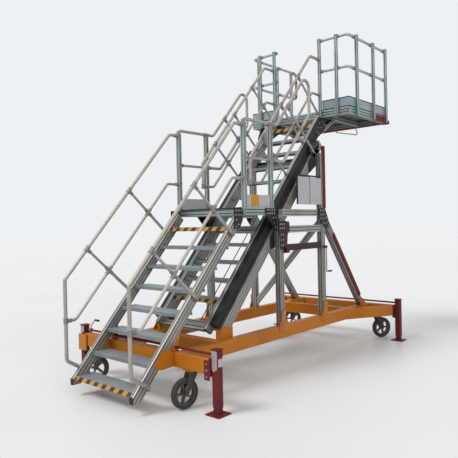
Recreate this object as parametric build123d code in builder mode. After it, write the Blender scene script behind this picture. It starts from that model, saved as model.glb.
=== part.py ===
from build123d import *
from math import sin, cos, radians, hypot
import os

# Height-adjustable aircraft maintenance stand, in millimetres.
# X is the climber's right, Y is the climbing direction, Z is up, and the floor is Z = 0.
os.makedirs("parts", exist_ok=True)

# Both stair flights climb at one angle.
pitch = 48.0
run_y = cos(radians(pitch))
run_z = sin(radians(pitch))
slope = run_z / run_y
along = (0, run_y, run_z)
across = (0, run_z, -run_y)

# Clearances: run_gap between pieces that slide or turn, seat_gap between tubes and what they lie on.
run_gap = 0.3
seat_gap = 0.3

# Round tube and bar are drawn with flats, and each bend with short chords, to keep the model light.
tube_sides = 8
chord_turn = 24.0
tyre_sides = 30
rim_sides = 20

# Lower fixed stair and its landing.
low_clear = 480.0
low_rise = 222.0
low_going = low_rise / slope
low_count = 8
low_z = 212.0
low_y = -2348.0
tread_t = 36.0
sheet_t = 8.0
stringer_w = 46.0
stringer_d = 115.0
nose_cover = 12.0
landing_z = low_z + low_count * low_rise
landing_y = low_y + low_count * low_going
landing_back = -190.0
landing_half = 520.0
landing_h = 90.0
landing_beam_w = 60.0

# Upper moving stair and its platform.
up_clear = 375.0
up_rise = 206.25
up_going = up_rise / slope
up_count = 12
deck_z = 3405.0
deck_y = 1209.5
deck_half = 860.0
deck_back = 2353.0
frame_h = 105.0
frame_w = 60.0
up_stringer_w = 45.0
up_stringer_d = 120.0
up_foot_z = 640.0

# Steel chassis of rectangular tube.
beam_w = 100.0
beam_h = 150.0
beam_bottom = 373.0
beam_top = beam_bottom + beam_h
beam_half = 1040.0
front_y = low_y + 518
rear_y = 2155.0
mid_y = 1543.0

# Handrail tube.
tube_r = 20.0
knee_r = 17.0
brace_r = 15.0
rail_x = low_clear + stringer_w + tube_r + seat_gap
guard_post = 50.0
guard_top = 1032.0
guard_mid = 584.0

# Fixed support of slotted aluminium profile: inclined guides under the moving flight, posts and legs.
guide_w = 60.0
guide_d = 120.0
guide_x = rail_x - brace_r - seat_gap - guide_w / 2
guide_drop = 168.5
guide_low_z = 590.0
guide_high_z = 2900.0
post_x = 592.0
post_w = 80.0
post_front = -127.0
post_rear = 843.0
post_out = post_x + post_w / 2
post_in = post_x - post_w / 2
side_w = 90.0
side_x = post_out - side_w / 2
plate_t = 10.0

# Screw jacks at the four corners, joined in pairs by a shaft.
flange_t = 16.0
sleeve_w = 76.0
sleeve_wall = 6.0
jack_x = beam_half + flange_t + sleeve_w / 2
leg_w = sleeve_w - 2 * sleeve_wall - 2 * run_gap
jack_top = 612.0
sleeve_bottom = 70.0
foot_w = 180.0
foot_t = 10.0
shaft_z = 562.0
shaft_r = 13.0

# Swivel castors under the front and rear beams.
castor_x = 740.0
castor_trail = 85.0
wheel_r = 152.0
wheel_w = 60.0
tyre_t = 38.0
fork_gap = 76.0
fork_t = 8.0
axle_r = 9.0

# Slots in the faces of the profiles.
slot_w = 10.0
slot_d = 7.0
slot_pitch = 40.0


def low_at(s, drop=0.0):
    """A point s up the lower flight from its first nose and drop below the line of the noses."""
    return low_y + s * run_y + drop * run_z, low_z + s * run_z - drop * run_y


def up_at(s, drop=0.0):
    """A point s up the moving flight from the platform's edge and drop below the line of its noses."""
    return deck_y + s * run_y + drop * run_z, deck_z + s * run_z - drop * run_y


def low_line(y, rise=0.0):
    return low_z + slope * (y - low_y) + rise


def up_line(y, rise=0.0):
    return deck_z + slope * (y - deck_y) + rise


def slope_plane(x, point):
    """A plane square to the stair, with local x along X and local y pointing below the stair."""
    return Plane(origin=(x, *point), x_dir=(1, 0, 0), z_dir=along)


def side_plane(x):
    """A plane seen from the side, with local x along Y and local y along Z."""
    return Plane(origin=(x, 0, 0), x_dir=(0, 1, 0), z_dir=(1, 0, 0))


def slotted(width, depth, side_slots, end_slots=1):
    """The section of a slotted profile, with side_slots in each long face and end_slots in each short one."""
    with BuildSketch() as section:
        Rectangle(width, depth)
        with GridLocations(width, slot_pitch, 2, side_slots):
            Rectangle(2 * slot_d, slot_w, mode=Mode.SUBTRACT)
        with GridLocations(slot_pitch, depth, end_slots, 2):
            Rectangle(slot_w, 2 * slot_d, mode=Mode.SUBTRACT)
    return section.sketch


def chorded(points, bends):
    """The corners of a bent route: each bend's arc becomes chords, which turn by about chord_turn each."""
    route = FilletPolyline(*points, radius=bends, mode=Mode.PRIVATE)
    corners = [Vector(points[0])]
    for edge in route.order_edges():
        turn = (edge % 0).get_angle(edge % 1)
        chords = max(1, round(turn / chord_turn))
        corners += [edge @ ((k + 1) / chords) for k in range(chords)]
    return corners


def add_tube(points, radius, bends):
    """Add a tube to the open part along straight runs joined by bends of the given radii."""
    with BuildLine() as path:
        Polyline(*(points if len(points) == 2 else chorded(points, bends)))
    with BuildSketch(Plane(origin=path.line @ 0, z_dir=path.line % 0)) as section:
        RegularPolygon(radius, tube_sides)
    sweep(sections=section.sketch, path=path.line, transition=Transition.RIGHT)


def finish(part, name):
    part.label = name
    export_step(part, f"parts/{name}.step")


stringer_profile = slotted(stringer_w, stringer_d, 3)
up_profile = slotted(up_stringer_w, up_stringer_d, 3)
guide_profile = slotted(guide_w, guide_d, 3)
post_profile = slotted(post_w, post_w, 2, 2)
rail_profile = slotted(60, 90, 2)

# The guides' centre line lies below the noses of the moving flight.
guide_foot_s = (guide_low_z - deck_z + guide_drop * run_y) / run_z
guide_head_s = (guide_high_z - deck_z + guide_drop * run_y) / run_z
guide_foot = up_at(guide_foot_s, guide_drop)
cross_y = guide_foot[0] - 130

# Cross beams: the front and rear ones carry the jacks, the inner ones stand between the long beams.
inner_half = side_x - side_w / 2
cross_rows = ((front_y, beam_half), (cross_y, inner_half), (mid_y, inner_half), (rear_y, beam_half))
with BuildPart() as cross_beams:
    for y, half in cross_rows:
        with Locations((0, y, beam_bottom + beam_h / 2)):
            Box(2 * half, beam_w, beam_h)
    chamfer(cross_beams.edges().filter_by(Axis.X), 8)
finish(cross_beams.part, "cross_beams")

# Two long beams join the front and rear beams.
side_y0 = front_y + beam_w / 2
side_y1 = rear_y - beam_w / 2
with BuildPart() as side_beams:
    with Locations((side_x, (side_y0 + side_y1) / 2, beam_bottom + beam_h / 2)):
        Box(side_w, side_y1 - side_y0, beam_h)
    mirror(about=Plane.YZ)
finish(side_beams.part, "side_beams")

# Slanting outriggers brace the long beams to the ends of the rear beam.
outrigger_reach = 705.0
outrigger_w = 130.0
with BuildPart() as outriggers:
    with BuildSketch(Plane.XY.offset(beam_bottom)):
        with BuildLine():
            Polyline((post_out, side_y1 - outrigger_reach),
                     (post_out, side_y1 - outrigger_reach + outrigger_w),
                     (beam_half - 90, side_y1), (beam_half, side_y1), close=True)
        make_face()
    extrude(amount=beam_h)
    mirror(about=Plane.YZ)
finish(outriggers.part, "outriggers")

# Jack sleeves stand at the beam ends; a flange and a side plate bolt each to its beam.
cap_t = 8.0
lug_l = 65.0
lug_t = 8.0
lug_h = 190.0
jack_places = [(x, y) for x in (-jack_x, jack_x) for y in (front_y, rear_y)]
with BuildPart() as jack_sleeves:
    for x, y in jack_places:
        with BuildSketch(Plane(origin=(x, y, sleeve_bottom))) as tube:
            outer = Rectangle(sleeve_w, sleeve_w)
            chamfer(outer.vertices(), 5)
            Rectangle(sleeve_w - 2 * sleeve_wall, sleeve_w - 2 * sleeve_wall, mode=Mode.SUBTRACT)
        extrude(amount=jack_top - sleeve_bottom)
        with Locations((x, y, jack_top + cap_t / 2)):
            Box(sleeve_w + 14, sleeve_w + 14, cap_t)
        side = 1 if x > 0 else -1
        face_y = y + (beam_w + lug_t) / 2 * (1 if y > 0 else -1)
        with Locations((side * (beam_half + flange_t / 2), y, beam_bottom + beam_h / 2)):
            Box(flange_t, beam_w + 30, beam_h + 20)
        with Locations((side * (beam_half - lug_l / 2), face_y, beam_top - 13 - lug_h / 2)):
            Box(lug_l, lug_t, lug_h)
finish(jack_sleeves.part, "jack_sleeves")

# Each jack leg slides in its sleeve and ends in a square foot plate.
leg_rise = 430.0
legs = (("front_left", -jack_x, front_y), ("front_right", jack_x, front_y),
        ("rear_left", -jack_x, rear_y), ("rear_right", jack_x, rear_y))
for name, x, y in legs:
    with BuildPart() as leg:
        with Locations((x, y, foot_t / 2)):
            Box(foot_w, foot_w, foot_t)
        with Locations((x, y, foot_t + leg_rise / 2)):
            Box(leg_w, leg_w, leg_rise)
    finish(leg.part, f"jack_leg_{name}")

# A turning shaft joins the two jacks of each end.
with BuildPart() as link_shafts:
    for y in (front_y, rear_y):
        end = jack_x - sleeve_w / 2
        add_tube(((-end, y, shaft_z), (end, y, shaft_z)), shaft_r, 0)
finish(link_shafts.part, "link_shafts")

# Castors: a mounting plate under the beam, a swivelling fork, and a wheel of hub and tyre.
bearing_z = beam_bottom - 24
crown_top = bearing_z - run_gap
crown_t = 8.0
castors = (("front_left", -castor_x, front_y, 222), ("front_right", castor_x, front_y, 262),
           ("rear_left", -castor_x, rear_y, 235), ("rear_right", castor_x, rear_y, 60))
with BuildPart() as castor_plates:
    for _, x, y, _ in castors:
        with Locations((x, y, beam_bottom - 5)):
            Box(140, beam_w, 10)
        with BuildSketch(Plane(origin=(x, y, bearing_z))):
            RegularPolygon(38, rim_sides)
        extrude(amount=beam_bottom - 10 - bearing_z)
finish(castor_plates.part, "castor_plates")

for name, x, y, turn in castors:
    wheel = Plane(origin=(x, y, 0), x_dir=(cos(radians(turn)), sin(radians(turn)), 0))
    axle = Plane(origin=wheel.from_local_coords(Vector(castor_trail, 0, wheel_r)),
                 x_dir=wheel.x_dir, z_dir=wheel.y_dir)
    cheek_y = fork_gap / 2 + fork_t / 2
    with BuildPart() as fork:
        with BuildSketch(wheel.offset(crown_top - crown_t)):
            crown = Rectangle(100, fork_gap + 2 * fork_t)
            chamfer(crown.vertices(), 12)
        extrude(amount=crown_t)
        for s in (-1, 1):
            with BuildSketch(Plane(origin=wheel.from_local_coords(Vector(0, s * cheek_y, 0)),
                                   x_dir=wheel.x_dir, z_dir=-wheel.y_dir)):
                with BuildLine():
                    Polyline((-46, crown_top - crown_t), (46, crown_top - crown_t),
                             (castor_trail + 26, wheel_r + 6), (castor_trail + 12, wheel_r - 22),
                             (castor_trail - 12, wheel_r - 22), (castor_trail - 26, wheel_r + 6), close=True)
                make_face()
            extrude(amount=fork_t / 2, both=True)
        with BuildSketch(axle):
            RegularPolygon(axle_r, tube_sides)
        extrude(amount=fork_gap / 2 + fork_t + 8, both=True)
    finish(fork.part, f"castor_fork_{name}")

    with BuildPart() as tyre:
        with BuildSketch(axle):
            RegularPolygon(wheel_r, tyre_sides)
            RegularPolygon(wheel_r - tyre_t, rim_sides, mode=Mode.SUBTRACT)
        extrude(amount=wheel_w / 2, both=True)
        shoulders = [edge for side in tyre.faces().filter_by(axle) for edge in side.outer_wire().edges()]
        chamfer(shoulders, 10)
    finish(tyre.part, f"tyre_{name}")

    with BuildPart() as hub:
        with BuildSketch(axle):
            RegularPolygon(wheel_r - tyre_t, rim_sides)
            RegularPolygon(wheel_r - tyre_t - 12, rim_sides, mode=Mode.SUBTRACT)
        extrude(amount=wheel_w / 2 - 4, both=True)
        with BuildSketch(axle):
            RegularPolygon(32, tube_sides)
            with PolarLocations((wheel_r - tyre_t - 6) / 2, 5):
                Rectangle(wheel_r - tyre_t - 16, 18)
            RegularPolygon(axle_r + run_gap, tube_sides, major_radius=False, mode=Mode.SUBTRACT)
        extrude(amount=wheel_w / 2 - 12, both=True)
    finish(hub.part, f"wheel_hub_{name}")

# Lower stringers: slotted profile, its upper edge just above the tread noses. Its foot is cut level,
# and upright in front, where a black cap closes it.
low_start = -110.0
low_toe_y = low_y - 39
low_foot_z = 120.0
low_end = (landing_z - 60 - low_z) / run_z
low_x = low_clear + stringer_w / 2
low_drop = stringer_d / 2 - nose_cover
with BuildPart() as lower_stringers:
    with BuildSketch(slope_plane(low_x, low_at(low_start, low_drop))):
        add(stringer_profile)
    extrude(amount=low_end - low_start)
    split(bisect_by=Plane(origin=(0, low_toe_y, 0), z_dir=(0, 1, 0)), keep=Keep.TOP)
    split(bisect_by=Plane.XY.offset(low_foot_z), keep=Keep.TOP)
    mirror(about=Plane.YZ)
finish(lower_stringers.part, "lower_stringers")

# Treads of ribbed plank, with a black and yellow nose on the first and last.
low_depth = low_going + 5
with BuildPart() as lower_treads:
    for k in range(low_count):
        with BuildSketch(Plane(origin=(-low_clear, low_y + k * low_going, low_z + k * low_rise),
                               x_dir=(0, 1, 0), z_dir=(1, 0, 0))):
            with BuildLine():
                Polyline((0, 0), (low_depth, 0), (low_depth, -tread_t), (low_depth - sheet_t, -tread_t),
                         (low_depth - sheet_t, -sheet_t), (sheet_t, -sheet_t), (sheet_t, -tread_t),
                         (0, -tread_t), close=True)
            make_face()
        extrude(amount=2 * low_clear)
finish(lower_treads.part, "lower_treads")

nose_t = 6.0
nose_h = 48.0
with BuildPart() as lower_noses:
    for k in (0, low_count - 1):
        with Locations((0, low_y + k * low_going - nose_t / 2, low_z + k * low_rise - nose_h / 2)):
            Box(2 * low_clear, nose_t, nose_h)
finish(lower_noses.part, "lower_noses")

# Lower handrails: the top rail bends down and back to the stringer; a knee rail and two braces
# run below it, the braces square to the slope. Their feet lie beside the stringers and are held to
# them by pads.
low_front = low_y - 74
low_top_rise = 1112.0
low_knee_rise = 539.0
guard_y0 = landing_y + guard_post / 2
guard_y1 = landing_back - guard_post / 2
foot_bend_z = low_z + 165
foot_end = (low_y + 148, low_z + 24)
foot_overlap = 90.0
pad_l = 46.0
pad_at = foot_overlap - pad_l / 2
rail_end_y = guard_y0 - guard_post / 2
top_bend_y = rail_end_y - 135
knee_bend_y = rail_end_y - 185
knee_foot_z = low_line(low_front + 118, low_knee_rise)
brace_tops = (low_y + 208, low_y + 803)
pad_steps = [(y - low_y) / run_y + low_top_rise * run_z for y in brace_tops]
for name, side in (("lower_rail_left", -1), ("lower_rail_right", 1)):
    x = side * rail_x
    with BuildPart() as rail:
        add_tube(((x, *foot_end), (x, low_front, foot_bend_z),
                  (x, low_front, low_line(low_front, low_top_rise)),
                  (x, top_bend_y, low_line(top_bend_y, low_top_rise)),
                  (x, rail_end_y, low_line(top_bend_y, low_top_rise))), tube_r, 55)
        add_tube(((x, low_front, knee_foot_z), (x, low_front + 118, knee_foot_z),
                  (x, knee_bend_y, low_line(knee_bend_y, low_knee_rise)),
                  (x, rail_end_y, low_line(knee_bend_y, low_knee_rise))), knee_r, 60)
        for y in brace_tops:
            z = low_line(y, low_top_rise)
            length = low_top_rise * run_y - nose_cover + foot_overlap
            add_tube(((x, y, z), (x, y + length * run_z, z - length * run_y)), brace_r, 0)
        for s in pad_steps:
            pad_w = rail_x - low_clear - stringer_w
            with BuildSketch(slope_plane(side * (rail_x - pad_w / 2), low_at(s, pad_at - nose_cover))):
                Rectangle(pad_w, pad_l)
            extrude(amount=pad_l / 2, both=True)
    finish(rail.part, name)

# Landing: edge beams, deck plank and guard posts on both sides. The front posts end lower, where
# the guard tube turns down into them.
with BuildPart() as landing_frame:
    frame_z = landing_z - landing_h / 2
    with Locations((0, landing_y + 20, frame_z), (0, landing_back - 20, frame_z)):
        Box(2 * landing_half, 40, landing_h)
    for side in (-1, 1):
        with BuildSketch(Plane(origin=(side * (landing_half + landing_beam_w / 2), landing_y, frame_z),
                               x_dir=(1, 0, 0), z_dir=(0, 1, 0))):
            add(rail_profile)
        extrude(amount=landing_back - landing_y)
finish(landing_frame.part, "landing_frame")

with BuildPart() as landing_deck:
    with Locations((0, (landing_y + landing_back) / 2, landing_z - 12)):
        Box(2 * landing_half, landing_back - landing_y - 80, 24)
finish(landing_deck.part, "landing_deck")

front_post_h = guard_top - 44
guard_bend = 40
with BuildPart() as landing_posts:
    for y, height in ((guard_y0, front_post_h), (guard_y1, guard_top - tube_r)):
        with Locations((rail_x, y, landing_z + height / 2)):
            Box(guard_post, guard_post, height)
    mirror(about=Plane.YZ)
finish(landing_posts.part, "landing_posts")

# Guard loops: the landing's top rail rises from the front post, climbs beside the moving flight,
# turns over and comes back down to the rear landing post; a brace ties it to the joint plate at the
# guide's head.
loop_top_rise = 1038.0
loop_low_rise = 443.0
loop_end_y = 680.0
loop_brace_y = 174.0
plate_drop = guide_drop - guide_d / 2 + 5
loop_top_z = landing_z + guard_top
loop_mid_z = landing_z + guard_mid
loop_top_y = deck_y + (loop_top_z - loop_top_rise - deck_z) / slope
loop_low_y = deck_y + (loop_mid_z - loop_low_rise - deck_z) / slope
for name, side in (("landing_rail_left", -1), ("landing_rail_right", 1)):
    x = side * rail_x
    with BuildPart() as rail:
        add_tube(((x, guard_y0, landing_z + front_post_h), (x, guard_y0, loop_top_z),
                  (x, loop_top_y, loop_top_z),
                  (x, loop_end_y, up_line(loop_end_y, loop_top_rise)),
                  (x, loop_end_y, up_line(loop_end_y, loop_low_rise)), (x, loop_low_y, loop_mid_z),
                  (x, guard_y1 + guard_post / 2, loop_mid_z)), tube_r, [guard_bend, 60, 95, 80, 60])
        length = loop_top_rise * run_y + plate_drop
        z = up_line(loop_brace_y, loop_top_rise)
        add_tube(((x, loop_brace_y, z), (x, loop_brace_y + length * run_z, z - length * run_y)), brace_r, 0)
        add_tube(((x, guard_y0 + guard_post / 2, loop_mid_z), (x, guard_y1 - guard_post / 2, loop_mid_z)),
                 knee_r, 0)
    finish(rail.part, name)

with BuildPart() as landing_toe_boards:
    with Locations((rail_x, (guard_y0 + guard_y1) / 2, landing_z + 75)):
        Box(12, guard_y1 - guard_y0 - guard_post, 150)
    mirror(about=Plane.YZ)
finish(landing_toe_boards.part, "landing_toe_boards")

# Fixed guides: inclined slotted profiles on which the moving flight slides, with ties between them.
with BuildPart() as guides:
    with BuildSketch(slope_plane(guide_x, guide_foot)):
        add(guide_profile)
    extrude(amount=guide_head_s - guide_foot_s)
    mirror(about=Plane.YZ)
finish(guides.part, "guides")

guide_inner = guide_x - guide_w / 2
tie_h = 56.0
tie_drop = guide_drop + (guide_d - tie_h) / 2
tie_steps = (guide_foot_s + 70, guide_foot_s + 1540, guide_head_s - 300)
with BuildPart() as guide_ties:
    for s in tie_steps:
        with BuildSketch(slope_plane(0, up_at(s, tie_drop))):
            Rectangle(2 * guide_inner, tie_h)
        extrude(amount=40, both=True)
finish(guide_ties.part, "guide_ties")

# A lifting rope runs under the ties, held by an eye block below the first and the last.
rope_r = 6.0
eye_h = 30.0
rope_drop = tie_drop + tie_h / 2 + 0.7 * eye_h
with BuildPart() as hoist_rope:
    for s in (tie_steps[0], tie_steps[-1]):
        with BuildSketch(slope_plane(0, up_at(s, tie_drop + (tie_h + eye_h) / 2))):
            Rectangle(40, eye_h)
        extrude(amount=25, both=True)
    rope_steps = (tie_steps[0] + 25 + seat_gap, tie_steps[-1] - 25 - seat_gap)
    rope_ends = [(0, *up_at(s, rope_drop)) for s in rope_steps]
    add_tube(rope_ends, rope_r, 0)
finish(hoist_rope.part, "hoist_rope")

# Upright posts of slotted profile on the long beams.
post_rows = ((post_front, 1900.0), (post_rear, 2740.0))
with BuildPart() as support_posts:
    for y, top in post_rows:
        with BuildSketch(Plane(origin=(post_x, y, beam_top))):
            add(post_profile)
        extrude(amount=top - beam_top)
    mirror(about=Plane.YZ)
finish(support_posts.part, "support_posts")

# Raking rear legs from the rear posts down to the rear of the long beams.
leg_foot_y = 1930.0
leg_top_z = 1858.0
post_back = post_rear + post_w / 2
leg_length = hypot(leg_foot_y - post_back, leg_top_z - beam_top)
leg_dir = (0, (post_back - leg_foot_y) / leg_length, (leg_top_z - beam_top) / leg_length)
leg_plane = Plane(origin=(post_x, leg_foot_y, beam_top), x_dir=(1, 0, 0), z_dir=leg_dir)
with BuildPart() as rear_legs:
    with BuildSketch(leg_plane.offset(-100)):
        add(post_profile)
    extrude(amount=leg_length + 160)
    split(bisect_by=Plane(origin=(0, post_back, 0), z_dir=(0, 1, 0)), keep=Keep.TOP)
    split(bisect_by=Plane.XY.offset(beam_top), keep=Keep.TOP)
    mirror(about=Plane.YZ)
finish(rear_legs.part, "rear_legs")

# Side rails between the posts, and a slanting brace between the rear posts.
rail_y0 = post_front + post_w / 2
rail_y1 = post_rear - post_w / 2
with BuildPart() as side_rails:
    for z in (landing_z - 64, 1715):
        with BuildSketch(Plane(origin=(post_x, rail_y0, z), x_dir=(1, 0, 0), z_dir=(0, 1, 0))):
            add(rail_profile)
        extrude(amount=rail_y1 - rail_y0)
    mirror(about=Plane.YZ)
    with BuildSketch(Plane(origin=(0, post_rear, 0), x_dir=(1, 0, 0), z_dir=(0, -1, 0))):
        with BuildLine():
            Polyline((-post_in, beam_top + 40), (-post_in, beam_top + 150), (post_in, 1830),
                     (post_in, 1720), close=True)
        make_face()
    extrude(amount=25, both=True)
finish(side_rails.part, "side_rails")

# The winch beam on the right side, with its folded bracket on the outer face behind the front post.
# A gear block on the bracket turns a shaft that runs through a bearing on the rear post.
winch_z = 1485.0
gear_w = 40.0
gear_y = post_front + post_w / 2 + 40
winch_shaft_z = winch_z - 28
winch_shaft_x = post_out + gear_w / 2
winch_shaft_end = post_rear + 30
with BuildPart() as winch_beam:
    with Locations((post_x, (rail_y0 + rail_y1) / 2, winch_z)):
        Box(60, rail_y1 - rail_y0, 80)
    with BuildSketch(side_plane(post_x + 30)):
        with BuildLine():
            Polyline((rail_y0, winch_z - 70), (rail_y0 + 70, winch_z - 30), (rail_y0 + 90, winch_z + 150),
                     (rail_y0 + 130, winch_z + 330), (rail_y0, winch_z + 330), close=True)
        make_face()
    extrude(amount=plate_t)
    with Locations((winch_shaft_x, gear_y, winch_shaft_z)):
        Box(gear_w, 60, 70)
    with Locations((winch_shaft_x, post_rear, winch_shaft_z)):
        Box(gear_w, 30, 34)
    add_tube(((winch_shaft_x, gear_y, winch_shaft_z), (winch_shaft_x, winch_shaft_end, winch_shaft_z)), 8, 0)
finish(winch_beam.part, "winch_beam")

# Hand cranks: one on the front jack shaft, one hanging from the winch shaft at the right rear post.
crank_x = lug_l + 10 - beam_half
crank_reach = 128.0
hang_z = 1117.0
with BuildPart() as hand_cranks:
    with BuildSketch(Plane(origin=(crank_x - 10, front_y, shaft_z), x_dir=(0, 1, 0), z_dir=(1, 0, 0))):
        RegularPolygon(shaft_r + 12, tube_sides)
        with Locations((0, crank_reach / 2 + shaft_r)):
            Rectangle(26, crank_reach)
        RegularPolygon(shaft_r + seat_gap, tube_sides, mode=Mode.SUBTRACT)
    extrude(amount=12)
    grip_z = shaft_z + shaft_r + crank_reach - 14
    add_tube(((crank_x + 2, front_y, grip_z), (crank_x + 165, front_y, grip_z)), 14, 0)
    with Locations((winch_shaft_x, winch_shaft_end + 5, (winch_shaft_z + hang_z) / 2)):
        Box(26, 10, winch_shaft_z - hang_z + 28)
    add_tube(((winch_shaft_x, winch_shaft_end + 10, hang_z), (winch_shaft_x, winch_shaft_end + 135, hang_z)),
             13, 0)
finish(hand_cranks.part, "hand_cranks")

# Rubber strips behind the rear posts and along the raking legs.
strip_w = 50.0
strip_t = 30.0
strip_top = 2840.0
strip_foot = leg_top_z + 92
with BuildPart() as bumper_strips:
    with Locations((post_x, post_back + strip_t / 2, (strip_foot + strip_top) / 2)):
        Box(strip_w, strip_t, strip_top - strip_foot)
    with BuildSketch(leg_plane.offset(190)):
        with Locations((0, post_w / 2 + 9)):
            Rectangle(strip_w, 18)
    extrude(amount=leg_length - 250)
    mirror(about=Plane.YZ)
finish(bumper_strips.part, "bumper_strips")

# Two plain boards on a bar frame in front of the right rear post.
board_w = 265.0
board_h = 425.0
board_z = 2245.0
board_t = 6.0
bar_w = 20.0
bar_x = post_x + 20
board_rows = (rail_y1 - 10 - board_w / 2, rail_y1 - 25 - 1.5 * board_w)
with BuildPart() as sign_boards:
    with Locations(*[(bar_x + bar_w / 2 + board_t / 2, y, board_z) for y in board_rows]):
        Box(board_t, board_w, board_h)
finish(sign_boards.part, "sign_boards")

frame_front = board_rows[1] - board_w / 2 - 5
with BuildPart() as sign_frame:
    for z in (board_z - board_h / 2 + bar_w / 2, board_z + board_h / 2 - bar_w / 2):
        with Locations((bar_x, (frame_front + rail_y1) / 2, z)):
            Box(bar_w, rail_y1 - frame_front, bar_w)
    for y in (frame_front + bar_w / 2, (board_rows[0] + board_rows[1]) / 2):
        with Locations((bar_x, y, board_z)):
            Box(bar_w, bar_w, board_h)
finish(sign_frame.part, "sign_frame")

# Black joint plates: spacers between guide and posts, cover plates at the landing, the posts and
# the legs, and the caps under the lower stringers.
guide_out = guide_x + guide_w / 2


def drop_line(y, drop):
    """The height of a line that runs with the slope, drop below the noses of the moving flight."""
    return up_line(y) - drop / run_y


plate_under = guide_drop + guide_d / 2 - 10
toe_top = low_line(low_toe_y, nose_cover / run_y)

with BuildPart() as joint_plates:
    for y, ends in ((post_front, (-105, 75)), (post_rear, (-180, 40))):
        with BuildSketch(side_plane(guide_out)):
            with BuildLine():
                Polyline((y + ends[0], drop_line(y + ends[0], plate_under)),
                         (y + ends[0], drop_line(y + ends[0], plate_drop)),
                         (y + ends[1], drop_line(y + ends[1], plate_drop)),
                         (y + ends[1], drop_line(y + ends[1], plate_under)),
                         (y + 40, drop_line(y - 40, plate_under) - 60),
                         (y - 40, drop_line(y - 40, plate_under) - 60), close=True)
            make_face()
        extrude(amount=post_in - guide_out)
    with BuildSketch(side_plane(post_out)):
        with BuildLine():
            Polyline((post_front - 60, 1690), (post_front - 60, 1850), (post_front + 10, 1850),
                     (post_front + 160, 1790), (post_front + 160, 1690), (post_front + 40, 1600),
                     (post_front + 40, 1470), (post_front - 40, 1470), (post_front - 40, 1600), close=True)
        make_face()
        with BuildLine():
            Polyline((post_rear - 40, 1780), (post_rear - 110, 1860), (post_rear - 110, 1985),
                     (post_rear + 40, 1985), (post_rear + 110, 1850), (post_rear + 160, 1730),
                     (post_rear + 60, 1700), close=True)
        make_face()
    extrude(amount=plate_t)
    with BuildSketch(side_plane(landing_half + landing_beam_w)):
        with BuildLine():
            Polyline((landing_back - 190, landing_z - 8), (post_front - 40, landing_z - 8),
                     (post_front - 40, landing_z - 300), (landing_back - 60, landing_z - 220),
                     (landing_back - 190, landing_z - 80), close=True)
        make_face()
    extrude(amount=plate_t)
    with BuildSketch(side_plane(low_clear + stringer_w)):
        with BuildLine():
            Polyline((landing_y - 150, landing_z - 12), (landing_y - 0.5, landing_z - 12),
                     (landing_y - 0.5, landing_z - 150), (landing_y - 60, landing_z - 250),
                     (landing_y - 150, landing_z - 250), close=True)
        make_face()
    extrude(amount=plate_t)
    with Locations((low_x, low_toe_y - 4, (low_foot_z + toe_top) / 2)):
        Box(stringer_w + 4, 8, toe_top - low_foot_z)
    mirror(about=Plane.YZ)
finish(joint_plates.part, "joint_plates")

# Orange brackets weld the guides, posts, legs and lower stringers to the chassis.
foot_upper = up_at(guide_foot_s, guide_drop - guide_d / 2)
foot_lower = up_at(guide_foot_s, guide_drop + guide_d / 2)
foot_under = up_at(guide_foot_s + 120, guide_drop + guide_d / 2)
cross_back = cross_y + beam_w / 2


def stringer_under(y):
    return low_line(y) - (stringer_d - nose_cover) / run_y


with BuildPart() as foot_brackets:
    with BuildSketch(side_plane(guide_inner)):
        with BuildLine():
            Polyline((cross_back, beam_bottom + 20), (cross_back, beam_top + 80), foot_upper, foot_lower,
                     foot_under, (foot_under[0], beam_bottom + 50), close=True)
        make_face()
    extrude(amount=inner_half - guide_inner)
    with BuildSketch(side_plane(low_clear + 4)):
        with BuildLine():
            Polyline((front_y - 40, beam_top), (front_y + 40, beam_top),
                     (front_y + 40, stringer_under(front_y + 40)),
                     (front_y - 40, stringer_under(front_y - 40)), close=True)
        make_face()
        with Locations((front_y, shaft_z)):
            RegularPolygon(shaft_r + run_gap, tube_sides, major_radius=False, mode=Mode.SUBTRACT)
    extrude(amount=stringer_w - 8)
    with BuildSketch(side_plane(post_out)):
        for y, lean in ((post_front, 0), (post_rear, 0), (leg_foot_y, -60)):
            with BuildLine():
                Polyline((y - 85, beam_top - 70), (y + 85, beam_top - 70), (y + 85, beam_top + 10),
                         (y + 40 + lean, beam_top + 110), (y - 40 + lean, beam_top + 110),
                         (y - 85, beam_top + 10), close=True)
            make_face()
    extrude(amount=8)
    mirror(about=Plane.YZ)
finish(foot_brackets.part, "foot_brackets")

# Upper moving flight: stringers joined by a cross member at the foot.
up_foot_s = (up_foot_z - deck_z) / run_z
up_head_s = -130.0
up_x = up_clear + up_stringer_w / 2
up_drop = up_stringer_d / 2 - nose_cover
with BuildPart() as upper_stringers:
    with BuildSketch(slope_plane(up_x, up_at(up_foot_s, up_drop))):
        add(up_profile)
    extrude(amount=up_head_s - up_foot_s)
    mirror(about=Plane.YZ)
    with BuildSketch(slope_plane(0, up_at(up_foot_s + 45, up_stringer_d - nose_cover - 34))):
        Rectangle(2 * up_clear + 10, 56)
    extrude(amount=30, both=True)
finish(upper_stringers.part, "upper_stringers")

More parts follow.
